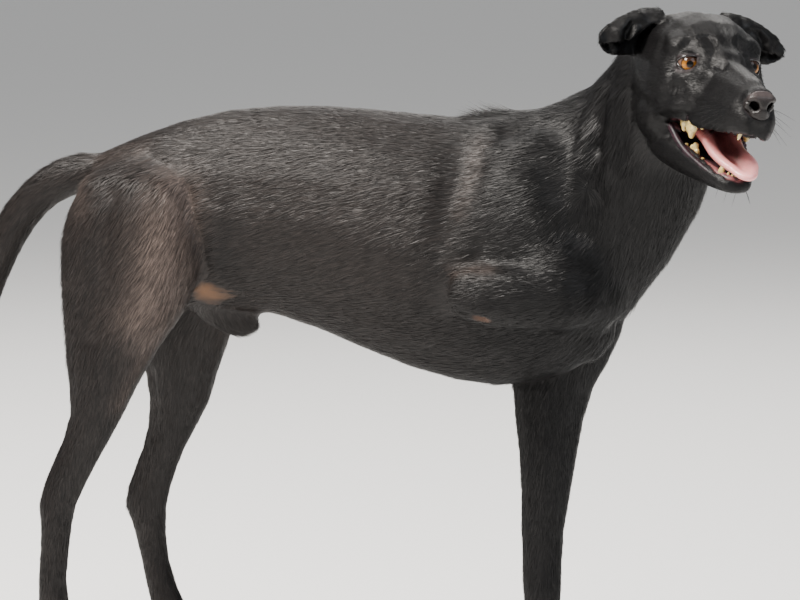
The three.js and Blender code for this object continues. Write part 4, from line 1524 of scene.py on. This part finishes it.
# %% [markdown]
# Each piece of the coat needs a flat map of itself, so that its colours can be kept in a picture. Blender's
# own unwrapping would take minutes for so many tufts. This map spreads the skin under the piece flat, like a
# pelt cut into patches by the way that they face.

# %% Map of the coat
PATCH_GAP = 0.006
SHRINK = 0.96


def pack_patches(low, high, scale):
    """Sets patches side by side in rows. Gives their corners, and how high the rows reach."""
    size = (high - low) * scale + PATCH_GAP
    order = np.argsort(-size[:, 1])
    corner = np.zeros_like(low)
    x = y = row = 0.0
    for i in order:
        if x + size[i, 0] > 1:
            x, y, row = 0.0, y + row, 0.0
        corner[i] = x, y
        x += size[i, 0]
        row = max(row, size[i, 1])
    return corner, y + row


def pelt_map(places, facing, member):
    """Flat places, from 0 to 1, for points of the skin: patches by member and by the way they face."""
    axis = np.abs(facing).argmax(1)
    sign = facing[np.arange(len(facing)), axis] > 0
    key = member * 6 + axis * 2 + sign
    from_side_or_above = np.where((axis == 1)[:, None], places[:, [0, 2]], places[:, [0, 1]])
    flat = np.where((axis == 0)[:, None], places[:, [1, 2]], from_side_or_above) * MM
    names, patch = np.unique(key, return_inverse=True)
    low = np.full((len(names), 2), np.inf)
    high = np.full((len(names), 2), -np.inf)
    np.minimum.at(low, patch, flat)
    np.maximum.at(high, patch, flat)
    scale = 1.0 / np.sqrt(((high - low).prod(1)).sum())
    corner, reach = pack_patches(low, high, scale)
    while reach > 1 or ((high - low)[:, 0] * scale).max() > 0.98:
        scale *= SHRINK
        corner, reach = pack_patches(low, high, scale)
    return (flat - low[patch]) * scale + corner[patch]


root_member = region[triangles[root_face, 0]]
print("mapped by member:", len(np.unique(root_member)), "members")

# %% [markdown]
# The coat is cut into pieces of a handy size, at the borders of the members, where a cut can't be seen
# among the tufts. The tufts' corners and faces are set from arrays, because hundreds of thousands of
# single steps would take too long. Each tuft is a tiny square of the map, at its root.

# %% Pieces of the coat
SPOT = 0.003


def coat_piece(name, chosen):
    """One mesh of all chosen tufts."""
    count = int(chosen.sum())
    corners = to_scene(tuft_corners[chosen].reshape(-1, 3)).astype(np.float32)
    faces = (TUFT_FACES[None] + 4 * np.arange(count)[:, None, None]).reshape(-1)
    mesh = bpy.data.meshes.new(name)
    mesh.vertices.add(4 * count)
    mesh.vertices.foreach_set("co", corners.ravel())
    mesh.loops.add(12 * count)
    mesh.loops.foreach_set("vertex_index", faces.astype(np.int32))
    mesh.polygons.add(4 * count)
    mesh.polygons.foreach_set("loop_start", (3 * np.arange(4 * count)).astype(np.int32))
    shade_smooth(mesh)
    mesh.update()
    add_values(mesh, "shade", np.repeat(tuft_shade[chosen], 4))
    add_values(mesh, "sheen_and_brown", np.repeat(brown_and_painted_sheen(roots[chosen]), 4))
    spots = pelt_map(roots[chosen], root_normal[chosen], root_member[chosen]) * (1 - SPOT)
    square = np.array([(0, 0), (SPOT, 0), (SPOT / 2, SPOT / 2), (SPOT / 2, SPOT)])
    map_spots = (spots[:, None] + square[None]).reshape(-1, 2)[faces]
    layer = mesh.uv_layers.new(name="OFBake")
    layer.data.foreach_set("uv", map_spots.astype(np.float32).ravel())
    mesh.normals_split_custom_set_from_vertices(tuft_normals[chosen].reshape(-1, 3))
    piece = add_object(name, mesh)
    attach(piece, "root")
    print(name, 4 * count, "faces")
    return piece


def grows_on(*words):
    """Which tufts grow on a solid whose name holds one of the words."""
    return np.array([any(word in name for word in words) for name in FLESH])[root_member]


on_face = grows_on("head", "jaw")
on_trunk = grows_on("trunk")
on_legs = grows_on("shank", "forearm", "paw", "upper_arm", "sheath")
left_of_face = to_head(roots)[:, 1] > 0
left_of_dog = roots[:, 1] > 0
behind = roots[:, 0] < 0
COAT_PIECES = {
    "coat_face_right": on_face & ~left_of_face,
    "coat_face_left": on_face & left_of_face,
    "coat_ears": grows_on("ear_left", "ear_right"),
    "coat_neck": grows_on("neck"),
    "coat_trunk_right": on_trunk & ~left_of_dog,
    "coat_trunk_left": on_trunk & left_of_dog,
    "coat_thighs": grows_on("thigh"),
    "coat_hind_legs": on_legs & behind,
    "coat_fore_legs": on_legs & ~behind,
    "coat_tail": grows_on("tail"),
}
coat = [coat_piece(name, chosen) for name, chosen in COAT_PIECES.items()]

# %% [markdown]
# Paint is made of nodes. They could be placed by hand in the editor, one by one, but every finish here
# needs the same few steps: read a mask or a noise, spread it between two limits, and mix two colours by
# it. So each step is a small function, and a finish is then a few readable lines.

# %% Tools for the paint
# A mix node holds sockets for numbers, directions and colours under the same names, so those for colours
# are found by their number.
FIRST_COLOUR, SECOND_COLOUR, MIXED_COLOUR = 6, 7, 2


def mix_colours(tree, share, first, second):
    """The first colour where the share is 0, the second where it is 1. Each may come from a node."""
    made = tree.nodes.new("ShaderNodeMix")
    made.data_type = "RGBA"
    tree.links.new(share, made.inputs["Factor"])
    for number, colour in ((FIRST_COLOUR, first), (SECOND_COLOUR, second)):
        if isinstance(colour, bpy.types.NodeSocket):
            tree.links.new(colour, made.inputs[number])
        else:
            made.inputs[number].default_value = (*colour, 1)
    return made.outputs[MIXED_COLOUR]


def attribute(tree, name):
    """A number kept on the piece's corners."""
    made = tree.nodes.new("ShaderNodeAttribute")
    made.attribute_name = name
    return made.outputs["Fac"]


def noise(tree, scale, detail=3, rough=0.5):
    """Soft grain, finer the larger its scale."""
    place = tree.nodes.new("ShaderNodeTexCoord")
    made = tree.nodes.new("ShaderNodeTexNoise")
    made.inputs["Scale"].default_value = scale
    made.inputs["Detail"].default_value = detail
    made.inputs["Roughness"].default_value = rough
    tree.links.new(place.outputs["Object"], made.inputs["Vector"])
    return made.outputs["Fac"]


def spread(tree, value, low, high, to_low=0.0, to_high=1.0):
    """Stretches the range from low to high to another one, and cuts off what is outside."""
    made = tree.nodes.new("ShaderNodeMapRange")
    tree.links.new(value, made.inputs["Value"])
    for name, number in (("From Min", low), ("From Max", high), ("To Min", to_low), ("To Max", to_high)):
        made.inputs[name].default_value = number
    return made.outputs["Result"]


def bump(tree, height, strength, distance):
    """Normals that look as if the surface had this height."""
    made = tree.nodes.new("ShaderNodeBump")
    made.inputs["Strength"].default_value = strength
    made.inputs["Distance"].default_value = distance
    tree.links.new(height, made.inputs["Height"])
    return made.outputs["Normal"]


def new_material(name, **values):
    """A material, its nodes and its shader, with the given values on the shader's own sockets."""
    material = bpy.data.materials.new(name)
    material.use_nodes = True
    shader = material.node_tree.nodes["Principled BSDF"]
    for word, value in values.items():
        shader.inputs[word.replace("_", " ").title().replace("Ior", "IOR")].default_value = value
    return material, material.node_tree, shader


def blotched(name, scale, low, high, first, second, **values):
    """A material of two tones that run into each other in blotches."""
    material, tree, shader = new_material(name, **values)
    blotches = spread(tree, noise(tree, scale), low, high)
    colour = mix_colours(tree, blotches, first, second)
    tree.links.new(colour, shader.inputs["Base Color"])
    return material, tree, shader


def paint(material, *pieces):
    """Gives the pieces this material and no other."""
    for piece in pieces:
        piece.data.materials.clear()
        piece.data.materials.append(material)


# %% [markdown]
# Black hair isn't one black: every hair differs a little. Where the mask says so, a brown tone is mixed in,
# partly the brown of thin, short hair and partly painted sheen where the light falls. One group holds both
# tones and is placed in the coat's and the skin's material, so the skin between the tufts can't be told from
# them.

# %% Colours of the coat
coat_colours = bpy.data.node_groups.new("coat colours", "ShaderNodeTree")
for name, in_out, kind in (
    ("Sheen and brown", "INPUT", "Float"), ("Shade", "INPUT", "Float"),
    ("Base Color", "OUTPUT", "Color"), ("Roughness", "OUTPUT", "Float"),
):
    coat_colours.interface.new_socket(name, in_out=in_out, socket_type="NodeSocket" + kind)
given = coat_colours.nodes.new("NodeGroupInput")
result = coat_colours.nodes.new("NodeGroupOutput")
DARK_BLACK, LIGHT_BLACK = (0.0018, 0.0018, 0.0021), (0.0065, 0.006, 0.0062)
# Brown of the hair and painted sheen: the lighter brown is mostly a painted highlight.
DARK_BROWN_SHEEN, LIGHT_BROWN_SHEEN = (0.034, 0.0255, 0.022), (0.13, 0.099, 0.086)
black = mix_colours(coat_colours, given.outputs["Shade"], DARK_BLACK, LIGHT_BLACK)
brown_sheen = mix_colours(coat_colours, given.outputs["Shade"], DARK_BROWN_SHEEN, LIGHT_BROWN_SHEEN)
patches = spread(coat_colours, noise(coat_colours, 14), 0.3, 0.7, to_low=0.75)
sheen_and_brown_share = coat_colours.nodes.new("ShaderNodeMath")
sheen_and_brown_share.operation = "MULTIPLY"
coat_colours.links.new(given.outputs["Sheen and brown"], sheen_and_brown_share.inputs[0])
coat_colours.links.new(patches, sheen_and_brown_share.inputs[1])
coat_tone = mix_colours(coat_colours, sheen_and_brown_share.outputs[0], black, brown_sheen)
coat_colours.links.new(coat_tone, result.inputs["Base Color"])
gloss = spread(coat_colours, given.outputs["Shade"], 0, 1, to_low=0.5, to_high=0.35)
coat_colours.links.new(gloss, result.inputs["Roughness"])


def coat_group(tree, shade):
    """The coat's colours, placed in a material."""
    group = tree.nodes.new("ShaderNodeGroup")
    group.node_tree = coat_colours
    tree.links.new(attribute(tree, "sheen_and_brown"), group.inputs["Sheen and brown"])
    tree.links.new(shade, group.inputs["Shade"])
    return group


coat_material, tree, shader = new_material("coat", specular_ior_level=0.2)
group = coat_group(tree, attribute(tree, "shade"))
tree.links.new(group.outputs["Base Color"], shader.inputs["Base Color"])
tree.links.new(group.outputs["Roughness"], shader.inputs["Roughness"])
paint(coat_material, *coat, whiskers)
WHISKER_SHADE = 0.2
add_values(whiskers.data, "shade", np.full(len(whiskers.data.vertices), WHISKER_SHADE))
print("coat paint on", len(coat), "pieces and the whiskers")

# %% [markdown]
# The skin carries the coat's colours and, by its masks, the bare places: tan groin and scar, dark soles and
# lips, wet lining of the mouth. Separate materials would meet at a hard line, while masks fade. A fine bump
# stands for the undercoat, which is too short to be made as tufts.

# %% Skin paint
skin_material, tree, shader = new_material("skin", specular_ior_level=0.2)
group = coat_group(tree, spread(tree, noise(tree, 900, 2), 0.3, 0.7, 0.1, 0.7))
colour = group.outputs["Base Color"]
# (mask, where it begins, where it is full, colour)
BARE_TONES = [
    ("groin", 0.25, 0.8, (0.125, 0.062, 0.029)),
    ("scar", 0.3, 0.95, (0.085, 0.042, 0.025)),
    ("soles", 0.3, 0.7, (0.03, 0.026, 0.025)),
    ("bare", 0.3, 0.8, (0.022, 0.017, 0.018)),
    ("lining", 0.3, 0.7, (0.075, 0.032, 0.036)),
]
for name, low, high, tone in BARE_TONES:
    colour = mix_colours(tree, spread(tree, attribute(tree, name), low, high), colour, tone)
tree.links.new(colour, shader.inputs["Base Color"])
in_mouth = spread(tree, attribute(tree, "lining"), 0.3, 0.7)
WET = (0.3, 0.3, 0.3)
wet = mix_colours(tree, in_mouth, group.outputs["Roughness"], WET)
tree.links.new(wet, shader.inputs["Roughness"])
tree.links.new(bump(tree, noise(tree, 1400), 0.35, 0.0006), shader.inputs["Normal"])
paint(skin_material, skin)
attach(skin, "root")
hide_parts(*FLESH)
print("skin paint:", len(BARE_TONES), "bare tones over the coat's colours")

# %% [markdown]
# The iris is amber with fine streaks, darker in a ring round the pupil, at its rim and in the shade of the
# upper lid. A picture of an iris would look sharper, but rings told by their distance from the middle stay
# crisp from near by. The clear cornea is the shader's own coat, which keeps one sharp reflection.

# %% Eye paint
eye_material, tree, shader = new_material(
    "eye", roughness=0.4, specular_ior_level=0.0, coat_weight=0.55, coat_roughness=0.02
)
ring = attribute(tree, "ring")
streaks = spread(tree, noise(tree, 900, 4, 0.7), 0.3, 0.7)
amber = mix_colours(tree, streaks, (0.17, 0.06, 0.006), (0.42, 0.17, 0.018))
amber = mix_colours(tree, spread(tree, ring, 3.0, 4.2), (0.13, 0.045, 0.008), amber)
# Painted shade of the upper lid and a painted dark reflection: the iris darkens towards its top.
amber = mix_colours(tree, spread(tree, attribute(tree, "above"), -0.5, 3.0), amber, (0.022, 0.009, 0.005))
colour = mix_colours(tree, spread(tree, ring, 2.6, 2.95), (0.0015, 0.0015, 0.0015), amber)
colour = mix_colours(tree, spread(tree, ring, 6.6, 7.5), colour, (0.022, 0.011, 0.006))
colour = mix_colours(tree, spread(tree, ring, 7.8, 8.8), colour, (0.10, 0.06, 0.045))
tree.links.new(colour, shader.inputs["Base Color"])
paint(eye_material, *eyes)
print("eye paint on", len(eyes), "balls")

# %% [markdown]
# The leather of the nose is pebbled and moist, and a painted highlight makes it paler on top. Pebbles as
# shape would need a million faces, so they are bump from a pattern of cells. The nostrils are deep, and a
# matt black, painted shade, lets them stay dark in any light. The rims of the lids are wet and nearly black.

# %% Paint of the nose and the lids
IN_NOSTRIL = 0.42
leather, tree, shader = new_material("leather", roughness=0.38, specular_ior_level=0.3)
pebbles = tree.nodes.new("ShaderNodeTexVoronoi")
pebbles.inputs["Scale"].default_value = 900
place = tree.nodes.new("ShaderNodeTexCoord")
tree.links.new(place.outputs["Object"], pebbles.inputs["Vector"])
colour = mix_colours(tree, noise(tree, 300), (0.0045, 0.0036, 0.0034), (0.013, 0.0098, 0.0092))
# Painted highlight: the top of the leather is made paler.
colour = mix_colours(tree, spread(tree, attribute(tree, "upper"), 0.1, 0.9), colour, (0.045, 0.034, 0.033))
# Painted shade: the deep nostrils are made nearly black.
in_nostril = spread(tree, attribute(tree, "hollow"), 0.15, 0.6)
colour = mix_colours(tree, in_nostril, colour, (0.001, 0.001, 0.001))
tree.links.new(colour, shader.inputs["Base Color"])
tree.links.new(bump(tree, pebbles.outputs["Distance"], 0.5, 0.0004), shader.inputs["Normal"])
paint(leather, nose)
# Painted shade in the nostrils: a matt, nearly black material that reflects almost nothing.
nostril_painted_shade, _, _ = new_material(
    "nostril", base_color=(0.0012, 0.001, 0.001, 1), roughness=0.8, specular_ior_level=0.05
)
nose.data.materials.append(nostril_painted_shade)
in_hole = [min(hollow[corner] for corner in face.vertices) > IN_NOSTRIL for face in nose.data.polygons]
nose.data.polygons.foreach_set("material_index", np.array(in_hole, np.int32))
rim_paint, _, _ = new_material("lid rims", base_color=(0.012, 0.009, 0.009, 1), roughness=0.22)
paint(rim_paint, lid_rims)
print("nostrils:", sum(in_hole), "faces")

# %% [markdown]
# A tongue is soft flesh that lets a little light in, so its shader has a weak subsurface. It is painted
# darker towards the throat and in its trough, as painted shade of the deep mouth and of the hollow, and its
# small buds are dots of colour and a fine bump. A plain pink with gloss would look like plastic.

# %% Paint of the tongue
tongue_paint, tree, shader = new_material(
    "tongue", roughness=0.38, coat_weight=0.35, coat_roughness=0.15,
    subsurface_weight=0.15, subsurface_scale=0.003,
)
# Painted shade of the deep mouth: the tongue is darker towards the throat.
depth = spread(tree, attribute(tree, "forward"), -10, 48)
colour = mix_colours(tree, depth, (0.36, 0.10, 0.095), (0.80, 0.34, 0.33))
# Painted shade in the hollow of the trough.
in_trough = spread(tree, attribute(tree, "trough"), 0.1, 0.75)
colour = mix_colours(tree, in_trough, colour, (0.075, 0.018, 0.017))
dots = spread(tree, noise(tree, 1500, 2), 0.4, 0.6, 0, 0.25)
colour = mix_colours(tree, dots, colour, (0.55, 0.16, 0.17))
tree.links.new(colour, shader.inputs["Base Color"])
tree.links.new(bump(tree, noise(tree, 1300, 2), 0.4, 0.0005), shader.inputs["Normal"])
paint(tongue_paint, tongue)
print("tongue paint: two tones, a trough and dots")

# %% [markdown]
# Gums, inner lips, teeth and claws are each two tones that run into each other: dark and pink gum, black
# and brown lip, clean and stained tooth, black and grey horn. One colour would do from far off, but in a
# close view it would look moulded.

# %% Paint of the gums, lips, teeth and claws
gum_paint, _, _ = blotched(
    "gum", 120, 0.4, 0.6, (0.035, 0.016, 0.019), (0.20, 0.07, 0.07),
    roughness=0.4, specular_ior_level=0.3,
)
lip_paint, tree, shader = blotched(
    "inner lips", 160, 0.4, 0.65, (0.006, 0.0045, 0.006), (0.026, 0.0105, 0.016),
    roughness=0.42, specular_ior_level=0.22,
)
tree.links.new(bump(tree, noise(tree, 900, 2), 0.3, 0.0005), shader.inputs["Normal"])
tooth_paint, _, _ = blotched(
    "tooth", 160, 0.35, 0.65, (0.54, 0.44, 0.19), (0.40, 0.27, 0.07),
    roughness=0.22, coat_weight=0.5, coat_roughness=0.08,
)
horn, _, _ = blotched("horn", 250, 0.0, 1.0, (0.02, 0.016, 0.014), (0.06, 0.045, 0.038), roughness=0.32)
paint(gum_paint, upper_gum, lower_gum)
paint(lip_paint, inner_lips)
paint(tooth_paint, upper_teeth, lower_teeth)
paint(horn, claws)
print("materials:", len(bpy.data.materials))

# %% [markdown]
# A black coat shows its shape only by its sheen, so the lamps matter more than on a pale animal. A pale
# floor, and three soft lamps: a large warm one, high and from behind the tail, which draws the sheen along
# the back, a cool one from the front and a weak one on the far side. One hard lamp would leave the rest of
# the dog without shape.

# %% Floor and light
FLOOR_SIZE = 40
FLOOR_BELOW = 0.0005
LIT_HEIGHT = 0.35
WORLD_STRENGTH = 0.47
shape = bmesh.new()
bmesh.ops.create_grid(shape, x_segments=1, y_segments=1, size=FLOOR_SIZE)
floor = add_object("floor", mesh_of("floor", shape))
floor.location.z = -FLOOR_BELOW
floor_paint, _, _ = new_material("floor", base_color=(0.88, 0.875, 0.865, 1), roughness=0.7)
paint(floor_paint, floor)


def area_light(name, azimuth, elevation, distance, size, watts, colour):
    """A square lamp that shines on the dog's middle."""
    data = bpy.data.lights.new(name, "AREA")
    data.size = size
    data.energy = watts
    data.color = colour
    light = bpy.data.objects.new(name, data)
    bpy.context.scene.collection.objects.link(light)
    way = Vector(view_direction(azimuth, elevation))
    light.location = Vector((0, 0, LIT_HEIGHT)) + way * distance
    light.rotation_euler = way.to_track_quat("Z", "Y").to_euler()


area_light("sun", azimuth=-42, elevation=52, distance=3.4, size=1.3, watts=370, colour=(1.0, 0.95, 0.89))
area_light("sky_right", azimuth=62, elevation=38, distance=3.6, size=2.4, watts=60, colour=(0.86, 0.93, 1.0))
area_light("back", azimuth=190, elevation=48, distance=3.5, size=2.2, watts=90, colour=(1.0, 0.97, 0.93))
world = bpy.data.worlds.new("world")
world.use_nodes = True
background = world.node_tree.nodes["Background"]
background.inputs["Color"].default_value = (0.93, 0.94, 0.95, 1)
background.inputs["Strength"].default_value = WORLD_STRENGTH
bpy.context.scene.world = world
print("lamps:", len(bpy.data.lights))
